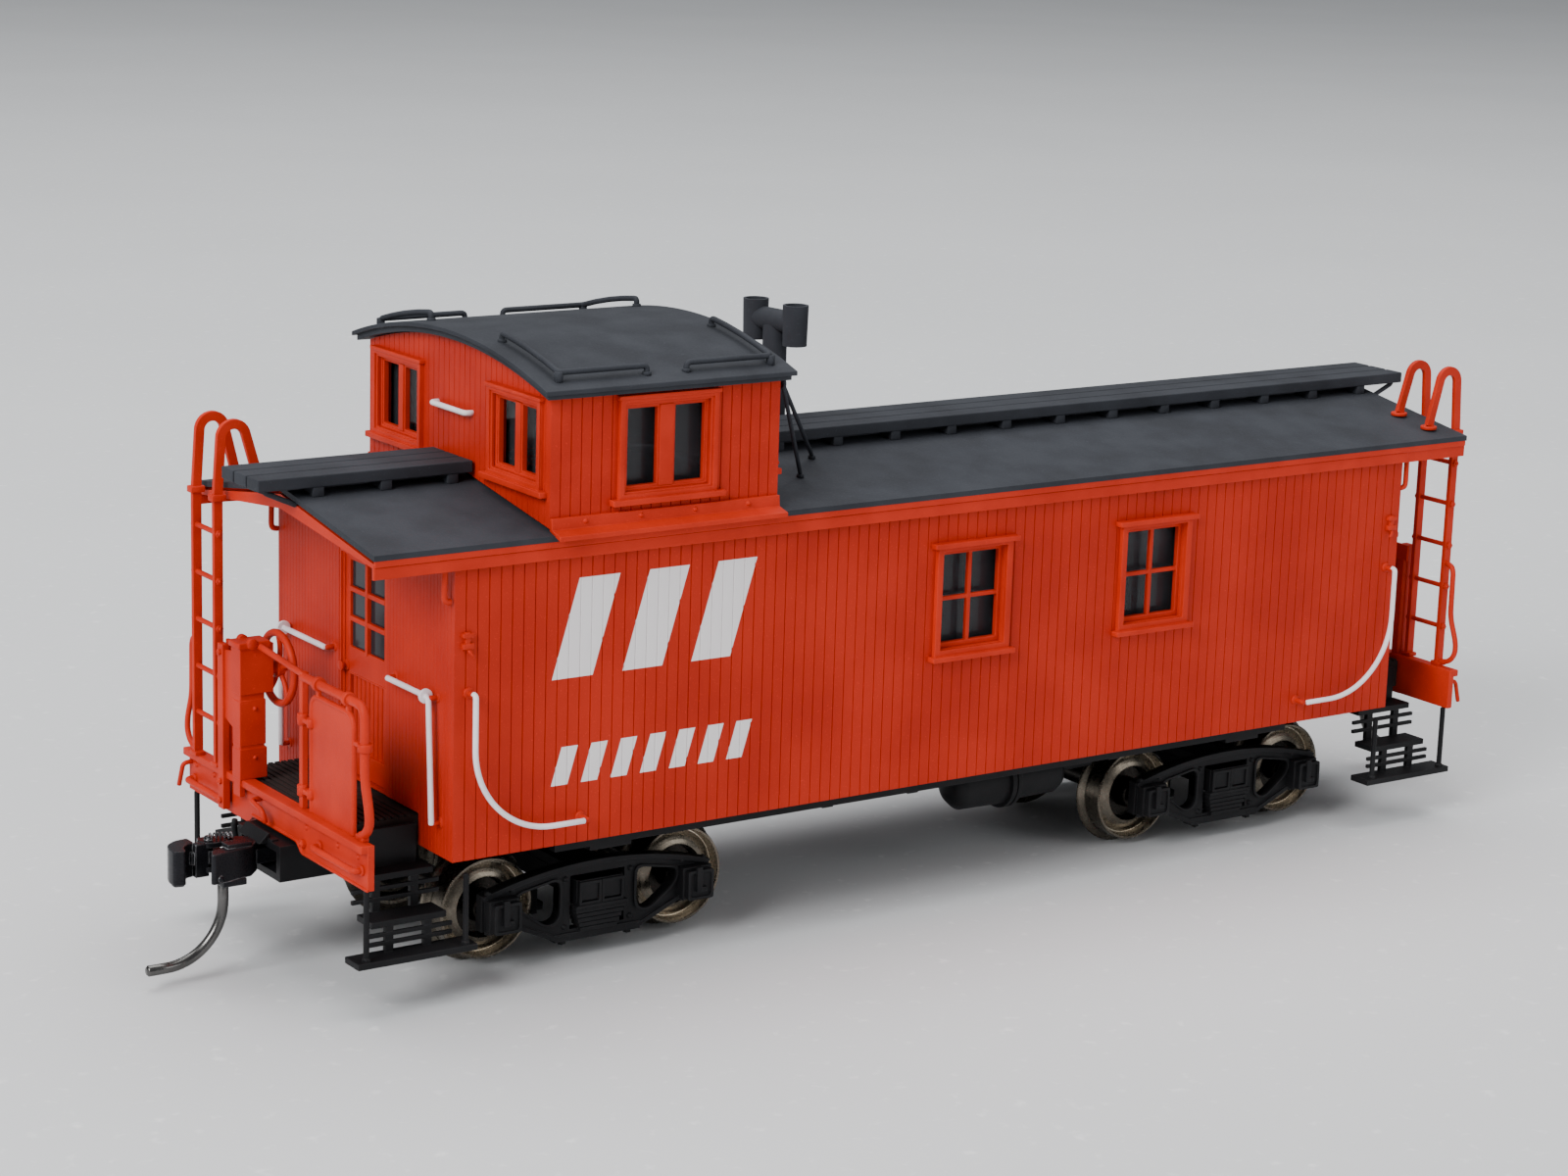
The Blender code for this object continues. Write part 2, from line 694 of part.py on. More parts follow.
def end_railing():
    """The pipe railing with its gate panel at end A, near side."""
    x = RAILING_X
    pipe_z, corner = 28.0, 1.3
    outer = -16.6
    curve = arc((outer + corner, pipe_z - corner), corner, 90, 180, 3)
    bulge = [(outer, 21.5), (-17.3, 19.2), (-17.45, 18.1), (-17.0, 17.2), (-16.0, 16.75)]
    pipe = [(-5.0, pipe_z)] + curve + bulge
    solids = [
        rod([(x, y, z) for y, z in pipe], 0.42, 6),
        rod([(-63.6, BRAKE_COLUMN_Y - 1.1 - GAP, 28.4), (x, -5.0, 28.3)], 0.3, 6),
        box((x - 0.3, -5.4, PLATFORM_FOOT), (x + 0.3, -4.75, 28.6)),
        box((x - 0.2, -14.6, PLATFORM_FOOT), (x + 0.2, -6.75, 26.8)),
        box((x - 0.3, -16.9, PLATFORM_FOOT), (x + 0.3, -15.4, PLATFORM_FOOT + 0.6)),
    ]
    for z in (17.7, 24.2):
        solids.append(box((x - 0.45, -6.9, z - 0.4), (x + 0.45, -4.9, z + 0.4)))
    solids.append(box((x - 0.35, -16.8, 24.0), (x + 0.35, -14.5, 24.6)))
    for y in (-13.4, -8.0):
        solids.append(box((x - 0.25, y - 0.3, 26.5), (x + 0.25, y + 0.3, pipe_z)))
    return shape(solids)


def step():
    """Open steps for one corner, near side, centred on x = 0 along the car."""
    solids = [
        box((-3.7, -13.2, 11.0), (3.7, -10.75, 11.6)),
        box((-3.7, -15.7, 7.6), (3.7, -12.9, 8.2)),
        box((-5.9, -17.5, 4.7), (5.9, -14.9, 5.3)),
        box((-3.1, -11.2, 11.3), (3.1, -10.75, 15.1)),
    ]
    for y, heights in ((-13.2, (10.0, 9.0)), (-15.7, (6.8, 5.9))):
        for z in heights:
            solids.append(box((-4.3, y, z), (4.3, y + 0.4, z + 0.35)))
    for x in (-1.9, 1.9):
        solids.append(box((x - 0.35, -13.2, 8.0), (x + 0.35, -12.6, 11.2)))
        solids.append(box((x - 0.35, -15.7, 5.1), (x + 0.35, -15.1, 7.8)))
    for x in (-4.9, 4.9):
        solids.append(rod([(x, -17.0, 5.0), (x, -17.0, SILL_BOTTOM - GAP)], 0.3, 6))
    return shape(solids)


# Running gear


def sideframe():
    """A cast sideframe for the near side, about the truck's centre."""
    half = HALF_WHEELBASE
    top = arc((0, -31.6), 41.0, 107.2, 72.8, 8)
    right = [(half + 1.9, 4.2), (half - 1.6, 4.2), (4.4, 2.1)]
    outline = top + right + [(-x, z) for x, z in reversed(right)]
    solids = [prism("y", outline, -FRAME_OUTSIDE, -FRAME_INSIDE)]
    cuts = []
    for side in (-1, 1):
        x = side * half
        solids.append(box((x - 1.6, -JOURNAL_LID, 4.1), (x + 1.6, -FRAME_INSIDE, 7.2)))
        cuts.append(cylinder("y", (x, 0, AXLE_HEIGHT), JOURNAL_RADIUS + GAP, -JOURNAL_END - GAP, -11, 12))
        window = [(4.2, 7.9), (8.0, 7.1), (8.0, 6.0), (5.0, 3.9), (4.2, 4.3)]
        window = [(side * a, b) for a, b in window]
        cuts.append(prism("y", window, -FRAME_OUTSIDE - 1, -FRAME_INSIDE + 1))
    cuts.append(box((-2.9, -FRAME_OUTSIDE - 1, 3.0), (2.9, -FRAME_INSIDE + 1, 8.1)))
    frame = shape(solids, cuts)
    frame.transform(Matrix.Scale(1 / MM, 4))
    whole = bmesh.new()
    whole.from_mesh(frame)
    spring = [(-2.2, 2.6), (2.2, 2.6), (2.6, 5.2), (-2.6, 5.2)]
    return shape([whole, prism("y", spring, -FRAME_OUTSIDE - 0.5, -FRAME_INSIDE)])


def truck_bolster():
    """The beam that carries the car on the two sideframes, about the truck's centre."""
    reach = FRAME_INSIDE - GAP
    return shape(
        [
            box((-2.2, -reach, 6.2), (2.2, reach, 8.6)),
            box((-2.3, -FRAME_OUTSIDE - 0.4, 5.8), (2.3, FRAME_OUTSIDE + 0.4, 7.7)),
            cylinder("z", (0, 0, 0), 2.8, 8.0, 9.6, 12),
        ]
    )


def wheelset():
    """Two flanged wheels on their axle, turned about Y."""
    dish = WHEEL_FACE - 0.9
    wheel = [
        (JOURNAL_END, JOURNAL_RADIUS),
        (WHEEL_FACE + 0.15, JOURNAL_RADIUS),
        (WHEEL_FACE + 0.15, 1.5),
        (dish, 1.9),
        (dish, 2.6),
        (WHEEL_FACE, 4.0),
        (WHEEL_FACE, TREAD_RADIUS - 0.05),
        (WHEEL_BACK + 0.85, TREAD_RADIUS + 0.05),
        (WHEEL_BACK + 0.4, FLANGE_RADIUS),
        (WHEEL_BACK, FLANGE_RADIUS - 0.25),
        (WHEEL_BACK, AXLE_RADIUS),
    ]
    profile = wheel + [(-along, radius) for along, radius in reversed(wheel)]
    return shape([lathe("y", (0, 0, 0), profile, 20)], smooth=True)


def brake_cylinder():
    """The air brake cylinder and reservoir under the floor, with its push rod."""
    centre = (0, -9.0, 9.4)
    profile = [
        (4.4, 0),
        (4.6, 1.6),
        (5.4, 2.5),
        (10.6, 2.6),
        (10.6, 3.0),
        (11.4, 3.0),
        (11.4, 2.4),
        (17.0, 2.3),
        (18.0, 1.5),
        (18.2, 0.35),
        (22.5, 0.35),
    ]
    hangers = [box((x - 0.4, -9.6, 11.0), (x + 0.4, -8.4, 12.1)) for x in (7.5, 14.5)]
    return shape([lathe("x", centre, profile, 14)] + hangers, smooth=True)


# Couplers: modelled at end A, in the car's frame less the coupler's pivot


def draft_box():
    """The coupler's box under the platform at end A, with its pivot post and striker."""
    block = box((-BOX_FRONT, -BOX_HALF_WIDTH, BOX_BOTTOM), (-BOX_REAR, BOX_HALF_WIDTH, BOX_TOP))
    slot = box((-BOX_FRONT - 1, -3.5, 9.75), (-BOX_REAR - 1.2, 3.5, 11.75))
    post = cylinder("z", (COUPLER_PIVOT, 0, 0), 0.9, 9.5, 12.0, 12)
    frame = shape([block], [slot])
    frame.transform(Matrix.Scale(1 / MM, 4))
    whole = bmesh.new()
    whole.from_mesh(frame)
    return shape([whole, post])


def coupler():
    """Shank, head, guard arm, knuckle lugs and pin, and trip pin, about the coupler's pivot."""
    shank_low, shank_high = -0.7, 0.7
    low, high = COUPLER_LOW - COUPLER_HEIGHT, COUPLER_HIGH - COUPLER_HEIGHT
    front = KNUCKLE_PIN[0] - COUPLER_PIVOT
    ring = cylinder("z", (0, 0, 0), 2.2, shank_low, shank_high, 14)
    bore = cylinder("z", (0, 0, 0), 1.2, -2, 2, 14)
    shank = box((front + 2.0, -1.1, shank_low), (-1.6, 1.1, shank_high))
    head = [
        (front + 3.6, 1.0),
        (front + 3.6, -0.9),
        (front + 2.4, -2.2),
        (front - 0.2, -2.7),
        (front - 1.8, -3.0),
        (front - 1.2, -1.6),
        (front + 1.2, -0.9),
        (front + 1.4, 1.7),
    ]
    solids = [shank, prism("z", head, low, high)]
    lug = [(front + 2.0, 0.3), (front + 2.0, 1.6), (front + 0.7, 2.5), (front - 0.7, 2.5)]
    lug += [(front - 1.1, 1.55), (front - 0.7, 0.6), (front, 0.3)]
    solids.append(prism("z", lug, high - 0.5, high))
    solids.append(prism("z", lug, low, low + 0.5))
    solids.append(cylinder("z", (front, KNUCKLE_PIN[1], 0), 0.4, low + 0.2, high + 0.3, 8))
    trip_x, trip_y, trip_radius = front + 0.2, -0.95, 0.5
    solids.append(box((trip_x - 0.7, -2.0, low - 0.7), (trip_x + 1.6, -0.2, low + 0.1)))
    trip_bend, trip_low = 5.5, -9.0
    bend = arc((trip_x - trip_bend, trip_low + trip_bend), trip_bend, 0, -90, 5)
    drop = [(trip_x, low - 0.4)] + bend + [(-18.1, trip_low)]
    solids.append(rod([(x, trip_y, z) for x, z in drop], trip_radius, 8))
    return shape([ring] + solids, [bore])


def knuckle():
    """The hook that closes round a mating coupler, about its own pin."""
    low, high = COUPLER_LOW - COUPLER_HEIGHT, COUPLER_HIGH - COUPLER_HEIGHT
    hub_low, hub_high = low + 0.5 + GAP, high - 0.5 - GAP
    hub = cylinder("z", (0, 0, 0), 1.05, hub_low, hub_high, 12)
    bore = cylinder("z", (0, 0, 0), 0.4 + GAP, -2, 2, 10)
    arm = prism("z", [(-0.4, 0.9), (-2.0, 1.1), (-2.0, -0.7), (-0.4, -0.9)], hub_low, hub_high)
    hook = [(-1.5, 1.3), (-2.9, 1.1), (-3.9, 0.3), (-4.3, -0.9), (-4.3, -2.1), (-3.2, -2.3), (-2.9, -1.1)]
    hook += [(-2.3, -0.4), (-1.5, -0.3)]
    return shape([hub, arm, prism("z", hook, low - 0.4, high)], [bore])


def build():
    red = finish("freight_red", (0.52, 0.035, 0.012), 0.5)
    black = finish("roof_black", (0.045, 0.048, 0.055), 0.75)
    frame_black = finish("frame_black", (0.012, 0.012, 0.013), 0.55)
    deck = finish("deck_brown", (0.035, 0.024, 0.022), 0.8)
    white = finish("grab_white", (0.78, 0.74, 0.76), 0.45)
    nickel = finish("wheel_nickel", (0.42, 0.36, 0.27), 0.32, 1.0)
    coupler_black = finish("coupler_black", (0.02, 0.02, 0.022), 0.4, 0.4)
    clear = finish("glazing", (0.35, 0.37, 0.4), 0.08, 0.0, 0.35)

    place("body_shell", body_shell(), red)
    place("floor", floor(), deck)
    place("centre_sill", centre_sill(), frame_black)
    place("main_roof", main_roof(), black)
    place("eave_trim", eave_trim(), red)
    place("cupola_shell", cupola_shell(), red)
    place("cupola_glazing", cupola_glazing(), clear)
    place("cupola_roof", cupola_roof(), black)
    place("roofwalk_short", roofwalk(-ROOFWALK_END, CUPOLA_A - GAP), black)
    place("roofwalk_long", roofwalk(CUPOLA_B + GAP, ROOFWALK_END), black)
    place("smoke_jack", smoke_jack(), black)
    place("brake_cylinder", brake_cylinder(), frame_black)

    at_both_ends("door", door(), red)
    at_both_ends("ladder", ladder(), red)
    at_both_ends("end_sill", end_sill(), red)
    at_both_ends("brake_stand", brake_stand(), red)
    at_both_ends("brake_wheel", brake_wheel(), red)
    at_both_ends("end_railing", end_railing(), red)
    at_both_ends("draft_box", draft_box(), frame_black)

    window = side_window()
    for number, x in enumerate(WINDOW_CENTRES, 1):
        place(f"window_near_{number}", window, red, (x, 0, 0))
        place(f"window_far_{number}", window, red, (x, 0, 0), turned=True)
    glazing = side_glazing()
    place("glazing_near", glazing, clear)
    place("glazing_far", mirrored(glazing, "y"), clear)

    grab = side_grab()
    other_grab = mirrored(grab, "x")
    place("side_grab_near_a", grab, white)
    place("side_grab_near_b", other_grab, white)
    place("side_grab_far_a", other_grab, white, turned=True)
    place("side_grab_far_b", grab, white, turned=True)

    stair = step()
    for end, x in (("a", -STEP_CENTRE), ("b", STEP_CENTRE)):
        place(f"step_near_{end}", stair, frame_black, (x, 0, 0))
        place(f"step_far_{end}", stair, frame_black, (x, 0, 0), turned=True)

    middle = 2 * CUPOLA_MIDDLE
    rail = cupola_rail()
    other_rail = mirrored(rail, "x")
    place("cupola_rail_near_a", rail, black)
    place("cupola_rail_near_b", other_rail, black, (middle, 0, 0))
    place("cupola_rail_far_a", other_rail, black, turned=True)
    place("cupola_rail_far_b", rail, black, (middle, 0, 0), turned=True)
    brace = cupola_brace()
    place("cupola_brace_near", brace, black)
    place("cupola_brace_far", mirrored(brace, "y"), black)

    frame, beam, wheels = sideframe(), truck_bolster(), wheelset()
    draw_gear, hook = coupler(), knuckle()
    for end, side in (("a", -1), ("b", 1)):
        turned = side > 0
        truck = pivot(f"truck_{end}_pivot", (side * TRUCK_CENTRE, 0, 0), turned)
        place(f"truck_bolster_{end}", beam, frame_black, parent=truck)
        place(f"sideframe_{end}_1", frame, frame_black, parent=truck)
        place(f"sideframe_{end}_2", frame, frame_black, turned=True, parent=truck)
        for number, x in ((1, -HALF_WHEELBASE), (2, HALF_WHEELBASE)):
            place(f"wheelset_{end}_{number}", wheels, nickel, (x, 0, AXLE_HEIGHT), parent=truck)
        swing = pivot(f"coupler_{end}_pivot", (side * -COUPLER_PIVOT, 0, COUPLER_HEIGHT), turned)
        place(f"coupler_{end}", draw_gear, coupler_black, parent=swing)
        pin = (KNUCKLE_PIN[0] - COUPLER_PIVOT, KNUCKLE_PIN[1], 0)
        place(f"knuckle_{end}", hook, coupler_black, pin, parent=swing)


for thing in list(bpy.data.objects):
    bpy.data.objects.remove(thing)
build()
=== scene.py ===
"""The finished look of the model caboose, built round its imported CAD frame.

Lengths are in millimetres, and meshes are scaled to metres as they are made. End A is at -X, and
each piece of end B is the piece of end A turned half a turn about Z. The near side is -Y.
"""

import math

import bmesh
import bpy
from mathutils import Matrix, Vector


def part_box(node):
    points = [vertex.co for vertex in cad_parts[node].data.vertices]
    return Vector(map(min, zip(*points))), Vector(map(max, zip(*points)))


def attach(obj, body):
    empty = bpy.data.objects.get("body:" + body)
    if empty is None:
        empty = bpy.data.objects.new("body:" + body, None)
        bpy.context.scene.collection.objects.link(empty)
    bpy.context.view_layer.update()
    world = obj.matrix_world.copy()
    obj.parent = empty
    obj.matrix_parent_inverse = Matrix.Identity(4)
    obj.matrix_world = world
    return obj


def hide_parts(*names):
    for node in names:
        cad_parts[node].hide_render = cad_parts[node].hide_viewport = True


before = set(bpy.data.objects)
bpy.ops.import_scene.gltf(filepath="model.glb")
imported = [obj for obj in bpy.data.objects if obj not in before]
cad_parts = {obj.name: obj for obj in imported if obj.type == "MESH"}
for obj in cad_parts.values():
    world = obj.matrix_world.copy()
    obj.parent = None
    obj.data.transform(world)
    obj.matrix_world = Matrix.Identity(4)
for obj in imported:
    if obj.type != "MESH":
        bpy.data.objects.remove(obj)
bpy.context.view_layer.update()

MM = 0.001
TURN = Matrix.Rotation(math.pi, 4, "Z")
MIRROR_X = Matrix.Scale(-1, 4, (1, 0, 0))
MIRROR_Y = Matrix.Scale(-1, 4, (0, 1, 0))
STAY = Matrix.Identity(4)
ENDS = (("a", STAY), ("b", TURN))

EDGE = 0.07  # bevel on moulded edges
GAP = 0.3


def node_box(node):
    """A CAD node's lowest and highest corners, in millimetres."""
    low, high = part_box(node)
    return Vector(low) / MM, Vector(high) / MM


BODY_LOW, BODY_HIGH = node_box("body_shell")
ROOF_LOW, ROOF_HIGH = node_box("main_roof")
CUPOLA_LOW, CUPOLA_HIGH = node_box("cupola_shell")
CAP_LOW, CAP_HIGH = node_box("cupola_roof")
SILL_LOW, SILL_HIGH = node_box("end_sill_a")
WALL = 1.3
CUPOLA_WALL = 1.2
EAVE_TOP = 41.36
ROOF_SLOPE = (ROOF_HIGH.z - EAVE_TOP) / ROOF_HIGH.y
CAP_EAVE = 54.2
CAP_RISE = CAP_HIGH.z - CAP_EAVE
CAP_RADIUS = (CAP_HIGH.y**2 + CAP_RISE**2) / (2 * CAP_RISE)
DECK_TOP = node_box("floor")[1].z
SILL_TOP = SILL_HIGH.z
LADDER_X = -65.1
LADDER_STILES = (10.55, 15.0)
LADDER_RUNGS = (37.9, 33.5, 29.05, 24.6, 20.2)
RAILING_X = -64.3
BRAKE_Y = 6.0
WHEEL_CENTRE_X = 38.1
HALF_WHEELBASE = 10.3
AXLE_Z = 5.5
COUPLER_PIVOT = -59.5
KNUCKLE_PIN = (-70.4, 1.55)


def roof_top(y):
    return ROOF_HIGH.z - ROOF_SLOPE * abs(y)


def cap_top(y):
    """Height of the cupola roof's arc."""
    return CAP_HIGH.z - CAP_RADIUS + math.sqrt(CAP_RADIUS**2 - y**2)


# Solids in millimetres


def bevelled(solid, width):
    """The solid with its sharp edges rounded over."""
    if width:
        sharp = [edge for edge in solid.edges if edge.calc_face_angle(0) > math.radians(40)]
        bmesh.ops.bevel(
            solid, geom=sharp, offset=width, segments=2, profile=0.5, affect="EDGES", clamp_overlap=True
        )
    return solid


def block(low, high, edge=EDGE):
    solid = bmesh.new()
    bmesh.ops.create_cube(solid, size=1.0)
    for vertex in solid.verts:
        vertex.co = Vector(a + (c + 0.5) * (b - a) for a, b, c in zip(low, high, vertex.co))
    return bevelled(solid, edge)


def skin(solid, rings, capped=False):
    """The solid with faces between each ring of corners and the next. A ring of one corner is a point."""
    steps = max(len(ring) for ring in rings)
    for one, two in zip(rings, rings[1:]):
        for i in range(steps):
            j = (i + 1) % steps
            corners = [one[i % len(one)], one[j % len(one)], two[j % len(two)], two[i % len(two)]]
            solid.faces.new(list(dict.fromkeys(corners)))
    for ring in (rings[0], rings[-1]):
        if capped and len(ring) > 1:
            solid.faces.new(ring)
    bmesh.ops.recalc_face_normals(solid, faces=solid.faces)
    return solid


def spots(solid, axis, outline, distance):
    """New corners at one distance along an axis. An outline is pairs in the two other axes, in XYZ order."""
    along = "xyz".index(axis)
    return [solid.verts.new((*pair[:along], distance, *pair[along:])) for pair in outline]


def prism(axis, outline, start, end, edge=EDGE):
    """An outline drawn out along an axis from start to end."""
    solid = bmesh.new()
    flat = solid.faces.new(spots(solid, axis, outline, start))
    drawn = bmesh.ops.extrude_face_region(solid, geom=[flat])["geom"]
    for item in drawn:
        if isinstance(item, bmesh.types.BMVert):
            item.co["xyz".index(axis)] = end
    bmesh.ops.recalc_face_normals(solid, faces=solid.faces)
    return bevelled(solid, edge)


def turned(axis, centre, profile, steps=32):
    """A profile of (place along the axis, radius) pairs turned about an axis through centre."""
    along = "xyz".index(axis)
    first, second = [i for i in range(3) if i != along]
    solid = bmesh.new()
    rings = []
    for distance, radius in profile:
        ring = []
        for step in range(steps if radius else 1):
            turn = 2 * math.pi * step / steps
            place = Vector(centre)
            place[along] += distance
            place[first] += radius * math.cos(turn)
            place[second] += radius * math.sin(turn)
            ring.append(solid.verts.new(place))
        rings.append(ring)
    return skin(solid, rings, True)


def disc(axis, centre, radius, start, end, steps=24, edge=0.05):
    """A short cylinder with a rounded rim at both ends."""
    low, high = sorted((start, end))
    rim = min(edge, radius / 3, (high - low) / 3)
    profile = [(low, radius - rim), (low + rim, radius), (high - rim, radius), (high, radius - rim)]
    return turned(axis, centre, profile, steps)


def collar(axis, outer, inner, start, end, edge=EDGE):
    """A solid between two outlines of as many pairs each, drawn out from start to end."""
    solid = bmesh.new()
    sides = ((outer, start), (inner, start), (inner, end), (outer, end))
    loops = [spots(solid, axis, outline, distance) for outline, distance in sides]
    return bevelled(skin(solid, loops + loops[:1]), edge)


def rectangle(left, bottom, right, top):
    return [(left, bottom), (right, bottom), (right, top), (left, top)]


def bent(before, corner, after, bend, steps):
    """Points along the smooth curve that takes a corner's place."""
    back, ahead = before - corner, after - corner
    start = corner + back.normalized() * min(bend, back.length * 0.48)
    end = corner + ahead.normalized() * min(bend, ahead.length * 0.48)
    parts = [i / steps for i in range(steps + 1)]
    return [start * (1 - t) ** 2 + corner * 2 * t * (1 - t) + end * t**2 for t in parts]


def softened(outline, bend, steps=4):
    """The outline with its corners rounded."""
    corners = [Vector(pair) for pair in outline]
    pairs = []
    for i, corner in enumerate(corners):
        pairs += map(tuple, bent(corners[i - 1], corner, corners[(i + 1) % len(corners)], bend, steps))
    return pairs


def rivet(axis, centre, radius, out=1):
    """A low domed head that stands out from centre along the axis, which out may reverse."""
    profile = [(0, radius), (out * radius * 0.5, radius * 0.8), (out * radius * 0.8, radius * 0.4)]
    return turned(axis, centre, profile + [(out * radius * 0.85, 0)], 10)


def nut(axis, centre, radius, height):
    """A six-sided nut with a stub of its bolt showing."""
    low, high = sorted((0, height))
    flat = turned(axis, centre, [(low, radius), (high, radius)], 6)
    stub = rivet(axis, Vector(centre) + height * 0.9 * unit(axis), radius * 0.5, math.copysign(1, height))
    return join([bevelled(flat, 0.03), stub])


def unit(axis):
    return Vector((axis == "x", axis == "y", axis == "z"))


def arc(centre, radius, start, end, steps):
    """Pairs along a circular arc, from one angle to another in degrees, both included."""
    angles = [math.radians(start + (end - start) * i / steps) for i in range(steps + 1)]
    return [(centre[0] + radius * math.cos(t), centre[1] + radius * math.sin(t)) for t in angles]


def rounded(points, bend, steps=5):
    """The path with each inner corner replaced by a smooth curve."""
    points = [Vector(point) for point in points]
    path = [points[0]]
    for before, corner, after in zip(points, points[1:], points[2:]):
        path += bent(before, corner, after, bend, steps)
    return path + [points[-1]]


def wire(points, radius, bend=0.8, sides=12):
    """A round wire along the points with bent corners and slightly rounded ends."""
    points = rounded(points, bend) if bend else [Vector(point) for point in points]
    runs = [(b - a).normalized() for a, b in zip(points, points[1:])]
    side = runs[0].orthogonal().normalized()
    other = runs[0].cross(side)
    rounds = [2 * math.pi * i / sides for i in range(sides)]
    circle = [radius * (math.cos(t) * side + math.sin(t) * other) for t in rounds]
    nose = radius * 0.3
    stations = [[points[0] + 0.7 * spoke for spoke in circle]]
    ring = [points[0] + runs[0] * nose + spoke for spoke in circle]
    stations.append(ring)
    for index, run in enumerate(runs):
        last = index + 1 == len(runs)
        end = points[index + 1] - (run * nose if last else Vector())
        turn = run if last else (run + runs[index + 1]).normalized()
        ring = [place + run * ((end - place).dot(turn) / run.dot(turn)) for place in ring]
        stations.append(ring)
    tip = points[-1] - runs[-1] * nose
    stations.append([points[-1] + 0.7 * (place - tip) for place in ring])
    solid = bmesh.new()
    return skin(solid, [[solid.verts.new(place) for place in station] for station in stations], True)


def strip(path, width):
    """The outline of a flat bar of one width along a path of pairs."""
    path = [Vector(pair) for pair in path]
    left, right = [], []
    for index, place in enumerate(path):
        before = (place - path[index - 1]).normalized() if index else None
        after = (path[index + 1] - place).normalized() if index + 1 < len(path) else None
        turn = ((before or after) + (after or before)).normalized()
        normal = Vector((-turn.y, turn.x))
        reach = width / 2 / turn.dot(after or before)
        left.append(tuple(place + normal * reach))
        right.append(tuple(place - normal * reach))
    return left + right[::-1]


def ring_of(axis, centre, major, minor, around=48, sides=12):
    """A torus about an axis through centre."""
    solid = bmesh.new()
    rings = []
    for i in range(around):
        spin = Matrix.Rotation(2 * math.pi * i / around, 3, axis.upper())
        spoke = spin @ (unit("z") if axis != "z" else unit("x"))
        ring = []
        for j in range(sides):
            turn = 2 * math.pi * j / sides
            reach = spoke * (major + minor * math.cos(turn)) + unit(axis) * (minor * math.sin(turn))
            ring.append(solid.verts.new(Vector(centre) + reach))
        rings.append(ring)
    return skin(solid, rings + rings[:1])


def coil(start, end, radius, thickness, turns):
    """A small helical spring between two points."""
    start, end = Vector(start), Vector(end)
    axis = (end - start).normalized()
    side = axis.orthogonal().normalized()
    other = axis.cross(side)
    points = []
    steps = turns * 10
    for i in range(steps + 1):
        turn = 2 * math.pi * turns * i / steps
        reach = radius * (math.cos(turn) * side + math.sin(turn) * other)
        points.append(start.lerp(end, i / steps) + reach)
    return wire(points, thickness, 0, 6)


def join(solids):
    """One bmesh from several, which it uses up."""
    whole = bmesh.new()
    for solid in solids:
        mesh = bpy.data.meshes.new("piece")
        solid.to_mesh(mesh)
        whole.from_mesh(mesh)
        bpy.data.meshes.remove(mesh)
        solid.free()
    return whole


def moved(solid, matrix):
    solid.transform(matrix)
    if matrix.determinant() < 0:
        bmesh.ops.reverse_faces(solid, faces=solid.faces)
    return solid


def carve(solid, cutters):
    """The solid less the cutters, by an exact Boolean."""
    helpers = []
    for name, form in (("body", solid), ("tool", join(cutters))):
        mesh = bpy.data.meshes.new(name)
        form.to_mesh(mesh)
        form.free()
        helper = bpy.data.objects.new(name, mesh)
        bpy.context.scene.collection.objects.link(helper)
        helpers.append(helper)
    body, tool = helpers
    boolean = body.modifiers.new("cut", "BOOLEAN")
    boolean.object = tool
    boolean.operation = "DIFFERENCE"
    boolean.solver = "EXACT"
    boolean.use_self = True
    bpy.context.view_layer.update()
    graph = bpy.context.evaluated_depsgraph_get()
    result = bmesh.new()
    result.from_mesh(body.evaluated_get(graph).to_mesh())
    for helper in helpers:
        bpy.data.objects.remove(helper)
    return result


def piece(name, solids, material, body="car", place=STAY, replaces=(), about=None):
    """Puts solids in the scene as one piece that rides on a body. about is the piece's own origin."""
    whole = moved(join(solids), place)
    origin = Vector(about) if about else Vector()
    whole.transform(Matrix.Scale(MM, 4) @ Matrix.Translation(-origin))
    mesh = bpy.data.meshes.new(name)
    whole.to_mesh(mesh)
    whole.free()
    mesh.materials.append(material)
    mesh.shade_smooth()
    mesh.set_sharp_from_angle(angle=math.radians(48))
    thing = bpy.data.objects.new(name, mesh)
    thing.location = origin * MM
    bpy.context.scene.collection.objects.link(thing)
    weighted = thing.modifiers.new("flat faces", "WEIGHTED_NORMAL")
    weighted.keep_sharp = True
    bpy.context.view_layer.update()
    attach(thing, body)
    if replaces:
        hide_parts(*replaces)


# Materials


def node(tree, kind, inputs=None, **settings):
    """A new shader node. An input takes a socket to link, a colour or a number."""
    made = tree.nodes.new(f"ShaderNode{kind}")
    for name, value in settings.items():
        setattr(made, name, value)
    for key, value in (inputs or {}).items():
        if isinstance(value, bpy.types.NodeSocket):
            tree.links.new(value, made.inputs[key])
        else:
            made.inputs[key].default_value = (*value, 1) if isinstance(value, tuple) else value
    return made


def noise(tree, coordinates, size, detail=3.0):
    """Noise whose features are about size millimetres across."""
    inputs = {"Scale": 1 / (size * MM), "Detail": detail, "Vector": coordinates}
    return node(tree, "TexNoise", inputs).outputs["Fac"]


def remap(tree, value, low, high, to_low, to_high):
    ends = {"From Min": low, "From Max": high, "To Min": to_low, "To Max": to_high}
    return node(tree, "MapRange", {"Value": value, **ends}).outputs["Result"]


def math_node(tree, operation, first, second=0.0):
    return node(tree, "Math", {0: first, 1: second}, operation=operation).outputs["Value"]


def blend_colours(tree, factor, first, second):
    return node(tree, "Mix", {0: factor, 6: first, 7: second}, data_type="RGBA").outputs[2]


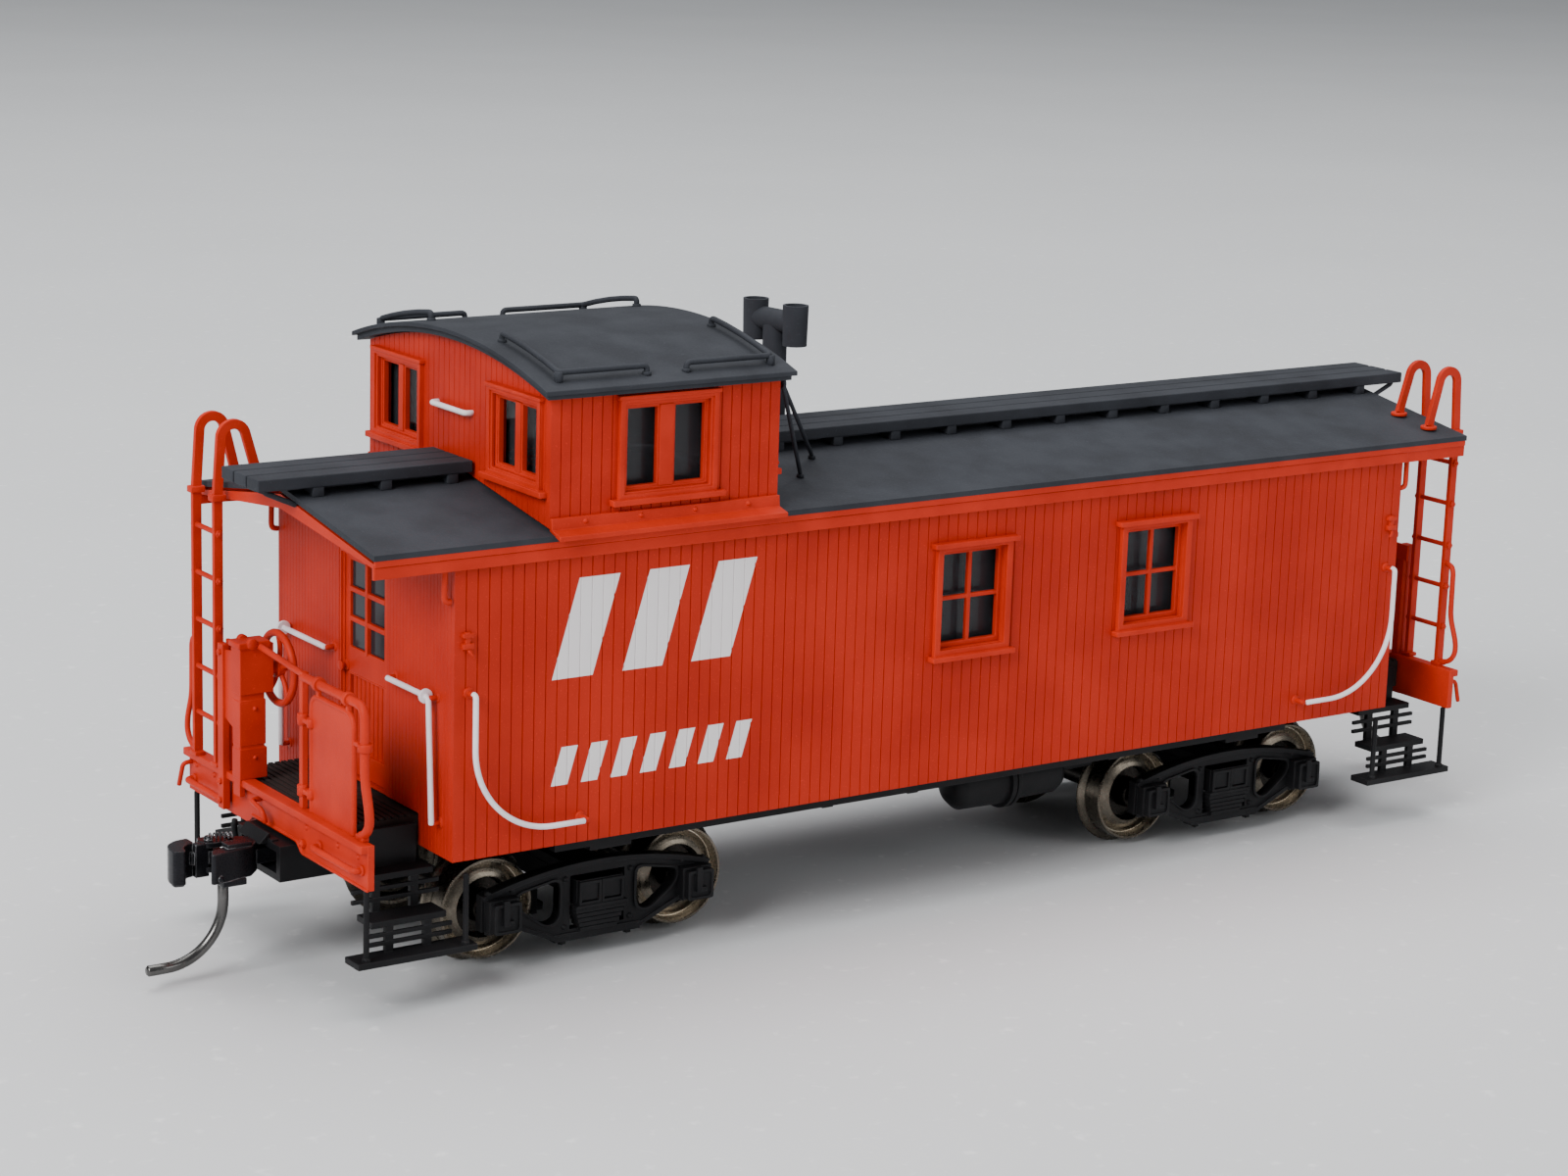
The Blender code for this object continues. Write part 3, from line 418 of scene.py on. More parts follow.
def edge_mask(tree, radius):
    """Near 1 on outer edges, from how far a rounded normal leans from the true one."""
    soft = node(tree, "Bevel", {"Radius": radius * MM}, samples=4).outputs["Normal"]
    true = node(tree, "NewGeometry").outputs["Normal"]
    lean = node(tree, "VectorMath", {0: soft, 1: true}, operation="DOT_PRODUCT")
    return remap(tree, lean.outputs["Value"], 0.99, 0.86, 0.0, 1.0)


def surface(name, colour, second, roughness, metallic=0.0, grain=0.15, relief=0.012, patch=5.0, edge_wear_and_highlight=None):
    """A painted or cast surface: two shades in soft patches, fine grain, and lighter edges if asked, partly
    wear and partly painted highlight.
    """
    material = bpy.data.materials.new(name)
    material.use_nodes = True
    tree = material.node_tree
    sockets = tree.nodes["Principled BSDF"].inputs
    coordinates = node(tree, "TexCoord").outputs["Object"]
    patches = remap(tree, noise(tree, coordinates, patch), 0.35, 0.65, 0.0, 1.0)
    grains = noise(tree, coordinates, grain)
    tint = blend_colours(tree, patches, colour, second)
    speck = remap(tree, grains, 0.62, 0.75, 0.0, 0.35)
    tint = blend_colours(tree, speck, tint, tuple(min(1.0, c * 1.9 + 0.012) for c in second))
    # Lighter colour on outer edges, broken up by noise: partly wear, partly painted highlight where edges
    # catch the light.
    if edge_wear_and_highlight:
        wear_and_highlight_colour, amount = edge_wear_and_highlight
        patchy_edges = remap(tree, noise(tree, coordinates, 1.2), 0.4, 0.6, 0.35, 1.0)
        mask = math_node(tree, "MULTIPLY", edge_mask(tree, 0.12), patchy_edges)
        tint = blend_colours(tree, math_node(tree, "MULTIPLY", mask, amount), tint, wear_and_highlight_colour)
    rough = remap(tree, grains, 0.3, 0.7, roughness - 0.07, roughness + 0.07)
    bump = node(tree, "Bump", {"Strength": 0.6, "Distance": relief * MM, "Height": grains})
    tree.links.new(tint, sockets["Base Color"])
    tree.links.new(rough, sockets["Roughness"])
    tree.links.new(bump.outputs["Normal"], sockets["Normal"])
    sockets["Metallic"].default_value = metallic
    sockets["Specular IOR Level"].default_value = 0.16
    return material


def opened(material):
    """A material's tree, its shader's inputs, the paint linked to them, and object coordinates."""
    tree = material.node_tree
    sockets = tree.nodes["Principled BSDF"].inputs
    paint = sockets["Base Color"].links[0].from_socket
    return tree, sockets, paint, node(tree, "TexCoord").outputs["Object"]


def inside(tree, value, middle, half):
    """1 where value is within half of middle."""
    away = math_node(tree, "ABSOLUTE", math_node(tree, "SUBTRACT", value, middle))
    return math_node(tree, "LESS_THAN", away, half)


def lettering(material, white):
    """Prints plain white bars on the sides: three slanted bars, and a row of dashes under them."""
    tree, sockets, paint, place = opened(material)
    x, y, z = node(tree, "SeparateXYZ", {0: place}).outputs
    slant = 0.3
    leaning = math_node(tree, "ADD", x, math_node(tree, "MULTIPLY", z, -slant))
    marks = None
    bars = [(-42.6 + 7.3 * i, 32.7, 2.1, 4.5) for i in range(3)]
    bars += [(-44.6 + 3.1 * i, 20.2, 0.85, 1.75) for i in range(7)]
    for middle, height, half_width, half_height in bars:
        across = inside(tree, leaning, (middle - slant * height) * MM, half_width * MM)
        bar = math_node(tree, "MULTIPLY", across, inside(tree, z, height * MM, half_height * MM))
        marks = math_node(tree, "MAXIMUM", marks, bar) if marks else bar
    outer = math_node(tree, "GREATER_THAN", math_node(tree, "ABSOLUTE", y), (BODY_HIGH.y - 0.2) * MM)
    marks = math_node(tree, "MULTIPLY", marks, outer)
    tree.links.new(blend_colours(tree, marks, paint, white), sockets["Base Color"])


def paint_inside_shade(material, low, high, wall):
    """Paints shade on the inside of a box of walls: a dark colour where the closed car lies in shadow. low
    and high are the walls' outer corners.
    """
    tree, sockets, paint, place = opened(material)
    x, y, _ = node(tree, "SeparateXYZ", {0: place}).outputs
    inset = wall - 0.02
    across = inside(tree, y, 0.0, (high.y - inset) * MM)
    along = inside(tree, x, (low.x + high.x) / 2 * MM, ((high.x - low.x) / 2 - inset) * MM)
    inside_shade = math_node(tree, "MULTIPLY", across, along)
    # Painted shade: the inside faces turn dark red-brown.
    tree.links.new(blend_colours(tree, inside_shade, paint, (0.05, 0.012, 0.008)), sockets["Base Color"])


def wheel_metal(name):
    """Plated metal with fine turning marks about the axle, which is the piece's own Y axis, a painted
    highlight ring at the rim's inner edge and painted shade in the deep recess round the hub.
    """
    material = surface(name, (0.12, 0.102, 0.08), (0.16, 0.14, 0.112), 0.28, 1.0, 0.4, 0.003, 2.5)
    tree, sockets, paint, place = opened(material)
    marks = {"Scale": 1 / (1.1 * MM), "Distortion": 0.6, "Detail": 3.0, "Vector": place}
    rings = node(tree, "TexWave", marks, wave_type="RINGS", rings_direction="Y").outputs["Fac"]
    relief = {"Strength": 0.35, "Distance": 0.01 * MM, "Height": rings}
    relief["Normal"] = sockets["Normal"].links[0].from_socket
    tree.links.new(node(tree, "Bump", relief).outputs["Normal"], sockets["Normal"])
    x, _, z = node(tree, "SeparateXYZ", {0: place}).outputs
    spoke = node(tree, "CombineXYZ", {"X": x, "Z": z}).outputs[0]
    reach = node(tree, "VectorMath", {0: spoke}, operation="LENGTH").outputs["Value"]
    # Painted highlight: a pale ring about 4.35 mm from the axle, at the rim's inner edge.
    painted_highlight_ring = inside(tree, reach, 4.35 * MM, 0.15 * MM)
    paint = blend_colours(tree, painted_highlight_ring, paint, (0.62, 0.56, 0.46))
    # Painted shade: near black inside about 2.7 mm from the axle, over the floor of the deep recess.
    recess_shade = remap(tree, reach, 2.6 * MM, 2.8 * MM, 0.0, 1.0)
    tree.links.new(blend_colours(tree, recess_shade, (0.02, 0.018, 0.016), paint), sockets["Base Color"])
    return material


def clear_plastic(name):
    """Thin clear sheet, smoky where it is seen against a dark inside."""
    material = surface(name, (0.035, 0.038, 0.043), (0.05, 0.054, 0.06), 0.15, 0.0, 6.0, 0.02, 14.0)
    sockets = material.node_tree.nodes["Principled BSDF"].inputs
    sockets["Alpha"].default_value = 0.55
    sockets["Specular IOR Level"].default_value = 0.35
    return material


# The last colours given to RED, BLACK and COUPLER go on their edges: partly wear, partly painted highlight.
RED = surface("freight_red", (0.46, 0.018, 0.004), (0.56, 0.026, 0.007), 0.5, edge_wear_and_highlight=((0.72, 0.06, 0.02), 0.5))
SIDING = surface("sheathing_red", (0.42, 0.015, 0.004), (0.51, 0.022, 0.006), 0.52, patch=9.0)
ROOF = surface("roof_black", (0.026, 0.028, 0.034), (0.036, 0.039, 0.047), 0.7, grain=0.3, relief=0.02)
BLACK = surface(
    "frame_black", (0.006, 0.006, 0.007), (0.011, 0.011, 0.012), 0.5, edge_wear_and_highlight=((0.05, 0.05, 0.052), 0.5),
)
DECK = surface("deck_brown", (0.014, 0.010, 0.009), (0.030, 0.022, 0.020), 0.75, relief=0.03)
WHITE = surface("grab_white", (0.84, 0.79, 0.82), (0.92, 0.87, 0.90), 0.42, relief=0.004)
NICKEL = wheel_metal("wheel_nickel")
COUPLER = surface(
    "coupler_black", (0.008, 0.008, 0.010), (0.016, 0.016, 0.019), 0.3, 0.3, edge_wear_and_highlight=((0.6, 0.6, 0.62), 0.7),
)
BURNISHED = surface("pin_steel", (0.10, 0.098, 0.095), (0.15, 0.145, 0.14), 0.25, 1.0, 1.5, 0.002, 3.0)
GLAZING = clear_plastic("glazing")
# An opaque dark pane for the door lights: painted shade of the car's inside seen through glass.
DOOR_SHADE_PANE = surface("door_glazing_painted_shade", (0.018, 0.019, 0.022), (0.03, 0.032, 0.037), 0.14, 0.0, 6.0, 0.003, 9.0)
CUPOLA_RED = surface("cupola_red", (0.43, 0.015, 0.004), (0.52, 0.022, 0.006), 0.52, patch=6.0)
lettering(SIDING, (0.84, 0.80, 0.80))
# Painted shade inside the car body and the cupola.
paint_inside_shade(SIDING, BODY_LOW, BODY_HIGH, WALL)
paint_inside_shade(CUPOLA_RED, CUPOLA_LOW, CUPOLA_HIGH, CUPOLA_WALL)


def repaint(material, *nodes):
    """Gives kept CAD nodes a finished material."""
    for node in nodes:
        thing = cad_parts[node]
        if not thing.material_slots:
            thing.data.materials.append(material)
        for slot in thing.material_slots:
            slot.material = material


# Sheathed walls


def grooved(start, end, pitch, width, depth):
    """Pairs from start up to end with a V groove between boards. The wall's outside is on the right."""
    start, end = Vector(start), Vector(end)
    run = end - start
    ahead = run.normalized()
    inward = Vector((-ahead.y, ahead.x))
    boards = round(run.length / pitch)
    pairs = [tuple(start)]
    for board in range(1, boards):
        joint = start + run * board / boards
        pairs.append(tuple(joint - ahead * width / 2))
        pairs.append(tuple(joint + inward * depth))
        pairs.append(tuple(joint + ahead * width / 2))
    return pairs


def sheathed(low, high, bottom, top, side, end):
    """A solid block of boards on end round a rectangle. side and end are (pitch, groove width, depth)."""
    corners = [(low.x, low.y), (high.x, low.y), (high.x, high.y), (low.x, high.y)]
    outline = []
    for index, corner in enumerate(corners):
        outline += grooved(corner, corners[(index + 1) % 4], *(end if index % 2 else side))
    return prism("z", outline, bottom, top, 0)


def body_siding():
    low, high = BODY_LOW, BODY_HIGH
    solid = sheathed(low, high, low.z, ROOF_HIGH.z + 1, (1.15, 0.12, 0.12), (0.62, 0.09, 0.05))
    drop = 0.8
    above = [
        (-30, roof_top(30) - drop), (0, ROOF_HIGH.z - drop), (30, roof_top(30) - drop), (30, 60), (-30, 60),
    ]
    cutters = [prism("x", above, -80, 80, 0)]
    inner = Vector((high.x - WALL, high.y - WALL, 0))
    cutters.append(block((-inner.x, -inner.y, 5), (inner.x, inner.y, 50), 0))
    for node in ("window_near_1", "window_near_2"):
        w_low, w_high = node_box(node)
        middle = (w_low.x + w_high.x) / 2
        cutters.append(block((middle - 3.95, -20, 25.9), (middle + 3.95, 20, 35.7), 0))
    cutters.append(block((-60, -4.6, 13), (60, 4.6, 36.9), 0))
    cutters.append(block((-60, -10.7, 10), (60, 10.7, DECK_TOP + GAP), 0))
    piece("body_siding", [carve(solid, cutters)], SIDING, replaces=["body_shell"])


def double_window(half, bottom, top, mullion):
    """A two-light window that looks toward -Y from a wall whose face is at y = 0."""
    light = rectangle(-half, bottom, half, top)
    casing = rectangle(-half - 0.75, bottom - 0.65, half + 0.75, top + 0.7)
    step = rectangle(-half - 0.25, bottom - 0.2, half + 0.25, top + 0.25)
    sash = rectangle(-half - 0.05, bottom - 0.05, half + 0.05, top + 0.05)
    pane = rectangle(-half + 0.2, bottom + 0.2, half - 0.2, top - 0.2)
    solids = [
        collar("y", casing, light, -0.3, 0.1),
        collar("y", casing, step, -0.48, -0.25),
        collar("y", sash, pane, 0.1, 0.78),
        block((-mullion, 0.08, bottom + 0.2), (mullion, 0.7, top - 0.2)),
        block((-half - 0.95, -0.62, top + 0.55), (half + 0.95, 0.1, top + 0.92)),
        block((-half - 1.5, -0.8, bottom - 1.15), (half + 1.5, 0.1, bottom - 0.6)),
    ]
    for side in (-1, 1):
        left, right = sorted((side * (mullion - 0.02), side * (half - 0.18)))
        bead = rectangle(left, bottom + 0.18, right, top - 0.18)
        gap = rectangle(left + 0.2, bottom + 0.42, right - 0.2, top - 0.4)
        solids.append(collar("y", bead, gap, 0.22, 0.74, 0.04))
    return join(solids)


def cupola_walls():
    low, high = CUPOLA_LOW, CUPOLA_HIGH
    middle = (low.x + high.x) / 2
    solid = sheathed(low, high, 38, 60, (1.05, 0.12, 0.13), (0.95, 0.12, 0.14))
    below = [(-30, 30), (30, 30), (30, roof_top(30) + GAP), (0, ROOF_HIGH.z + GAP), (-30, roof_top(30) + GAP)]
    ys = [-17.9 + 35.8 * i / 32 for i in range(33)]
    above = [(y, cap_top(y) - 1.05) for y in ys] + [(17.9, 70), (-17.9, 70)]
    cutters = [prism("x", below, -80, 80, 0), prism("x", above, -80, 80, 0)]
    inner = high.y - CUPOLA_WALL
    cutters.append(block((low.x + CUPOLA_WALL, -inner, 30), (high.x - CUPOLA_WALL, inner, 70), 0))
    cutters.append(block((middle - 4.4, -20, 44.45), (middle + 4.4, 20, 52.2), 0))
    for y in (-10.8, 10.8):
        cutters.append(block((-50, y - 3.9, 45.6), (-20, y + 3.9, 52.3), 0))
    piece("cupola_siding", [carve(solid, cutters)], CUPOLA_RED, replaces=["cupola_shell"])
    for name, flip in (("near", STAY), ("far", MIRROR_Y)):
        window = double_window(4.4, 44.45, 52.2, 0.75)
        moved(window, Matrix.Translation((middle, low.y, 0)))
        piece(f"cupola_window_{name}", [window], RED, place=flip)
        foot = [
            (-16.7, 42.75), (-16.7, 41.6), (-18.56, 41.0), (-18.56, 41.42), (-17.2, 41.75), (-17.1, 42.75),
        ]
        flashing = [prism("x", foot, low.x, high.x, 0.04)]
        for x in (-43.0, -37.3, -31.6, -25.9):
            flashing.append(rivet("y", (x, -17.12, 42.3), 0.26, -1))
        piece(f"cupola_flashing_{name}", flashing, RED, place=flip)
    for end, x, angle in (("a", low.x, -90), ("b", high.x, 90)):
        for number, y in ((1, -10.8), (2, 10.8)):
            window = double_window(3.9, 45.6, 52.3, 0.45)
            moved(window, Matrix.Translation((x, y, 0)) @ Matrix.Rotation(math.radians(angle), 4, "Z"))
            piece(f"cupola_end_window_{end}_{number}", [window], RED)
    grab_x = low.x - 0.75
    ends = [(low.x + 0.1, 3.4, 49.8), (grab_x, 3.4, 49.8), (grab_x, -2.9, 49.8), (low.x + 0.1, -2.9, 49.8)]
    piece("cupola_grab", [wire(ends, 0.26, 0.4)], WHITE)
    stub = [(high.x - 0.1, -15.4, 45.4), (high.x + 0.9, -15.4, 45.4)]
    piece("cupola_lamp_peg", [wire(stub, 0.25, 0)], RED)


# Roofs and what stands on them


def cupola_cap():
    """The arched roof: a thin sheet over a fascia that is set in all round."""

    def arch(half, drop, start, end, edge):
        ys = [half - 2 * half * i / 40 for i in range(41)]
        outline = [(y, cap_top(y) - drop[0]) for y in ys]
        outline += [(y, cap_top(y) - drop[1]) for y in reversed(ys)]
        return prism("x", outline, start, end, edge)

    sheet = arch(CAP_HIGH.y, (0, 0.42), CAP_LOW.x, CAP_HIGH.x, 0.08)
    fascia = arch(CAP_HIGH.y - 0.35, (0.3, 0.95), CAP_LOW.x + 0.4, CAP_HIGH.x - 0.4, 0.05)
    piece("cupola_cap", [sheet, fascia], ROOF, replaces=["cupola_roof"])


def cupola_rails():
    corner_x, edge_y, stop_x, stop_y = -45.5, -16.3, -36.5, -6.5
    lift = 0.77
    base = cap_top(edge_y)
    along = [(stop_x, edge_y, base - 0.1), (stop_x, edge_y, base + lift), (corner_x, edge_y, base + lift)]
    across = [(corner_x, y, cap_top(y) + lift) for y in (-14.0, -11.5, -9.0, stop_y)]
    route = along + across + [(corner_x, stop_y, cap_top(stop_y) - 0.1)]
    middle = Matrix.Translation((CUPOLA_LOW.x + CUPOLA_HIGH.x, 0, 0))
    sides = {"near_a": STAY, "near_b": middle @ MIRROR_X, "far_a": MIRROR_Y, "far_b": middle @ TURN}
    for side, place in sides.items():
        feet = [((corner_x, edge_y), 0.4, lift + 0.15), ((stop_x, edge_y), 0.42, 0.35)]
        feet += [((corner_x, stop_y), 0.42, 0.35)]
        solids = [wire(route, 0.27, 0.45)]
        for (x, y), radius, height in feet:
            solids.append(disc("z", (x, y, cap_top(y) - 0.1), radius, 0, height, 16))
        stands_for = f"cupola_rail_{side}"
        piece(f"rail_{side}", solids, ROOF, place=place, replaces=[stands_for])


def cupola_braces():
    eye = Vector((-21.75, -16.0, 52.8))
    for side, place in (("near", STAY), ("far", MIRROR_Y)):
        solids = [ring_of("x", eye, 0.35, 0.16, 20, 8)]
        for x, y in ((-15.5, -10.3), (-11.3, -6.1)):
            foot = Vector((x, y, roof_top(y) + 0.05))
            solids.append(wire([eye, foot + Vector((0, 0, 0.3)), foot], 0.2, 0.3, 10))
            solids.append(disc("z", foot, 0.36, -0.05, 0.3, 16))
        stands_for = f"cupola_brace_{side}"
        piece(f"brace_{side}", solids, ROOF, place=place, replaces=[stands_for])


def smoke_jack():
    x, y, cross_z = -6.3, 8.0, 54.2
    foot = roof_top(y) + 0.35
    stack = [(foot, 1.75), (foot + 0.5, 1.7), (foot + 0.6, 1.25), (cross_z - 0.6, 1.2), (cross_z, 0.8)]
    solids = [turned("z", (x, y, 0), stack, 32)]
    ends = [Vector((x - 0.45, y + 2.8, cross_z)), Vector((x + 0.45, y - 2.8, cross_z))]
    solids.append(wire(ends, 1.12, 0, 28))
    for end in ends:
        drum = [
            (0.9, 0), (0.9, 0.95), (1.8, 1.0), (1.8, 1.28), (-2.2, 1.2), (-2.2, 0.95), (-1.1, 0.95),
            (-1.1, 0),
        ]
        solids.append(turned("z", end, drum, 32))
    piece("smoke_stack", solids, ROOF, replaces=["smoke_jack"])


def running_boards():
    for name in ("short", "long"):
        low, high = node_box(f"roofwalk_{name}")
        under = high.z - 1.1
        width = high.y * 2 / 3
        planks = []
        for plank in range(3):
            left = -high.y + plank * width
            planks.append(block((low.x, left + 0.13, under), (high.x, left + width - 0.13, high.z), 0.12))
        first, last = max(low.x, ROOF_LOW.x) + 2.0, min(high.x, ROOF_HIGH.x) - 2.0
        count = round((last - first) / 7.0)
        for i in range(count + 1):
            x = first + (last - first) * i / count
            saddle = [(-3.6, roof_top(3.75) + 0.05), (0, ROOF_HIGH.z), (3.6, roof_top(3.6) + 0.05)]
            saddle += [(3.6, under + 0.1), (-3.6, under + 0.1)]
            planks.append(prism("x", saddle, x - 0.55, x + 0.55))
        stands_for = f"roofwalk_{name}"
        piece(f"running_board_{name}", planks, ROOF, replaces=[stands_for])
    for end, place in ENDS:
        stays = []
        for y in (-3.0, 3.0):
            top, root = Vector((-67.0, y, 44.6)), Vector((-64.0, y, roof_top(y) - 0.75))
            stays.append(wire([top, top - Vector((0, 0, 0.3)), root], 0.25, 0.3, 8))
        piece(f"running_board_stays_{end}", stays, ROOF, place=place)


def eaves():
    """Two-step letterboards under the roof's edges, over the CAD's plain trim."""
    outer = ROOF_HIGH.y - 0.2
    for side, place in (("near", STAY), ("far", TURN)):
        fascia = block((ROOF_LOW.x + 0.1, -outer - 0.17, 40.3), (ROOF_HIGH.x - 0.1, 0.1 - outer, 40.95), 0.06)
        lower = block((ROOF_LOW.x + 0.1, -outer - 0.05, 39.2), (ROOF_HIGH.x - 8.2, 0.1 - outer, 40.25), 0.06)
        piece(f"letterboard_{side}", [fascia, lower], RED, place=place)


# End platforms


def ladder():
    width = 0.9
    bend, crown, lean = 1.25, 46.6, 0.35
    curve = arc((LADDER_X + lean + bend, crown), bend, 180, 22, 12)
    solids = []
    for y in LADDER_STILES:
        foot = roof_top(y - 0.6) + 0.1
        path = [(LADDER_X, SILL_TOP), (LADDER_X, EAVE_TOP)] + curve + [(-61.1, foot + 0.2)]
        solids.append(prism("y", strip(path, width), y - 0.25, y + 0.25, 0.06))
        solids.append(disc("z", (-61.1, y, roof_top(y) + 0.05), 0.85, 0, 0.35, 20))
        for side in (-1, 1):
            solids.append(rivet("z", (-61.1 + 0.55 * side, y, roof_top(y) + 0.4), 0.2))
        solids.append(block((LADDER_X - 0.7, y - 0.5, 40.9), (LADDER_X + 0.7, y + 0.5, 41.5)))
        solids.append(
            block((LADDER_X - 0.55, y - 0.65, SILL_TOP), (LADDER_X + 0.5, y + 0.65, SILL_TOP + 0.4)),
        )
    for z in LADDER_RUNGS:
        solids.append(
            wire([(LADDER_X, LADDER_STILES[0] - 0.5, z), (LADDER_X, LADDER_STILES[1] + 0.5, z)], 0.25, 0),
        )
        solids.append(nut("y", (LADDER_X, LADDER_STILES[0] - 0.25, z), 0.36, -0.25))
        solids.append(nut("y", (LADDER_X, LADDER_STILES[1] + 0.25, z), 0.36, 0.25))
    outer = LADDER_STILES[1]
    grab = [
        (outer, 27.2), (16.3, 26.9), (16.4, 21.5), (17.45, 18.9), (17.45, 17.6), (16.6, 16.6), (outer, 16.4),
    ]
    solids.append(wire([(LADDER_X + 0.1, y, z) for y, z in grab], 0.28, 0.9))
    return solids


def end_sill():
    half = SILL_HIGH.y
    face, back, lip = -64.65, SILL_HIGH.x, SILL_LOW.x
    outline = [(-half, 11.9), (-5.4, 11.9), (-4.4, 12.75), (4.4, 12.75), (5.4, 11.9), (half, 11.9)]
    outline += [(half, SILL_TOP), (-half, SILL_TOP)]
    solids = [
        prism("x", outline, face, back, 0.06),
        block((lip, 0.03 - half, SILL_TOP - 0.7), (back - 0.2, half - 0.03, SILL_TOP + 0.02), 0.1),
        wire(
            [(face, y, z) for y, z in [(-half, 12.0), (-5.5, 12.0), (-4.5, 12.85), (4.5, 12.85)]], 0.16,
            0.3, 8,
        ),
    ]
    for y in (-16.2, -12.4, -6.4, 12.4, 16.2):
        solids.append(rivet("x", (face, y, 14.6), 0.28, -1))
    solids.append(nut("x", (face, -5.9, 13.0), 0.42, -0.4))
    hook = [(face, 2.6, 14.9), (face - 1.1, 2.6, 14.9), (face - 1.1, 0.2, 14.5), (face - 0.9, 0.0, 13.4)]
    solids.append(wire(hook, 0.24, 0.6, 10))
    lever = [(face, 17.2, 14.7), (face - 0.9, 17.3, 14.6), (face - 1.2, 17.6, 12.4)]
    solids.append(wire(lever, 0.22, 0.4, 10))
    for y0, y1, z in ((-16.9, -9.0, 13.6), (9.6, 16.6, 13.2)):
        rail = face - 0.85
        route = [(face, y0, z), (rail, y0, z), (rail, y1, z), (face, y1, z)]
        solids.append(wire(route, 0.3, 0.5))
        solids.append(disc("x", (face, y0, z), 0.5, -0.25, 0.05, 16))
        solids.append(disc("x", (face, y1, z), 0.5, -0.25, 0.05, 16))
    return solids


def brake_stand():
    y, face = BRAKE_Y, -64.95
    front = face - 0.55
    solids = [
        block((front, y - 0.68, 14.4), (face, y + 0.68, 21)),
        block((front + 0.05, y - 0.72, SILL_TOP), (-63.0, y + 0.72, 28.35)),
        block((front - 0.03, y - 0.82, SILL_TOP + 0.02), (-62.8, y + 0.82, 18.9)),
        block((front - 0.01, y - 0.78, 19.15), (-62.9, y + 0.78, 23.4)),
        block((front - 0.05, y - 0.95, 24.0), (-62.2, y + 0.95, 28.6)),
        block((front - 0.25, y - 1.15, 28.28), (-62.55, y + 1.15, 28.88), 0.12),
        block((front - 0.15, 8.5, 12.4), (face + 0.03, 9.6, 28.0)),
        block((front + 0.3, 8.6, SILL_TOP + 0.03), (-64.4, 9.5, 27.9)),
        block((-64.52, y + 0.1, 26.4), (-64.15, 10.2, 28.1)),
        prism(
            "x", [(y + 0.1, 20.2), (9.0, 21.3), (9.0, 27.4), (y + 0.1, 27.9)], front + 0.12, front + 0.42,
            0.05,
        ),
    ]
    for z in (13.2, 15.0, 27.2):
        solids.append(nut("x", (front - 0.15, 9.05, z), 0.32, -0.22))
    for z in (18.0, 22.6, 27.6):
        solids.append(rivet("y", (-64.0, y - 0.8, z), 0.22, -1))
    for side in (-1, 1):
        solids.append(disc("y", (-64.4, y, 28.7), 0.5, side * 0.7, side * 1.25, 16))
    return solids


def brake_wheel():
    centre = Vector((-61.3, BRAKE_Y, 25.9))
    radius = 3.25
    solids = [
        ring_of("x", centre, radius, 0.36, 56, 12),
        turned(
            "x", centre, [(-0.9, 0.45), (-0.4, 0.5), (-0.3, 0.85), (0.35, 0.85), (0.5, 0.45), (0.75, 0.4)],
            24,
        ),
    ]
    for spoke in range(5):
        spin = Matrix.Rotation(2 * math.pi * spoke / 5, 3, "X")
        mid = centre + spin @ Vector((0.25, 0, radius * 0.55))
        solids.append(wire([centre, mid, centre + spin @ Vector((0, 0, radius))], 0.24, 0.8, 10))
    return solids


def railing():
    x, pipe_z, outer = RAILING_X, 28.0, -16.6
    pipe = [
        (-4.9, pipe_z), (outer, pipe_z), (outer, 21.5), (-17.45, 18.9), (-17.5, 17.5), (-16.6, 16.6),
        (-15.9, 16.35),
    ]
    solids = [
        wire([(x, y, z) for y, z in pipe], 0.42, 1.3, 16),
        wire([(-63.6, BRAKE_Y - 1.1, 28.4), (x, -4.9, 28.2)], 0.3, 0),
        block((x - 0.3, -5.4, SILL_TOP), (x + 0.3, -4.75, 28.5)),
        block((x - 0.3, -16.8, SILL_TOP), (x + 0.35, -15.4, SILL_TOP + 0.5)),
    ]
    corner = 1.2
    panel = [(-6.75, SILL_TOP)] + arc((-6.75 - corner, 26.8 - corner), corner, 0, 90, 6)
    panel += arc((-14.6 + corner, 26.8 - corner), corner, 90, 180, 6) + [(-14.6, SILL_TOP)]
    rim = [(x, y, z) for y, z in panel]
    solids.append(prism("x", panel, x - 0.12, x + 0.15, 0.05))
    solids.append(wire(rim, 0.27, 0, 10))
    for z in (17.7, 24.2):
        solids.append(block((x - 0.4, -7.0, z - 0.22), (x + 0.4, -4.9, z + 0.22)))
        solids.append(disc("z", (x - 0.1, -5.1, z), 0.5, -0.5, 0.5, 16))
        solids.append(disc("z", (x - 0.1, -6.8, z), 0.42, -0.4, 0.4, 16))
    solids.append(disc("z", (x, outer, 24.4), 0.65, -0.35, 0.35, 20))
    solids.append(block((x - 0.2, outer, 24.2), (x + 0.2, -14.5, 24.6)))
    for y in (-13.6, -8.0):
        solids.append(disc("y", (x, y, pipe_z), 0.65, -0.3, 0.3, 20))
        solids.append(block((x - 0.2, y - 0.22, 26.6), (x + 0.2, y + 0.22, pipe_z)))
    return solids


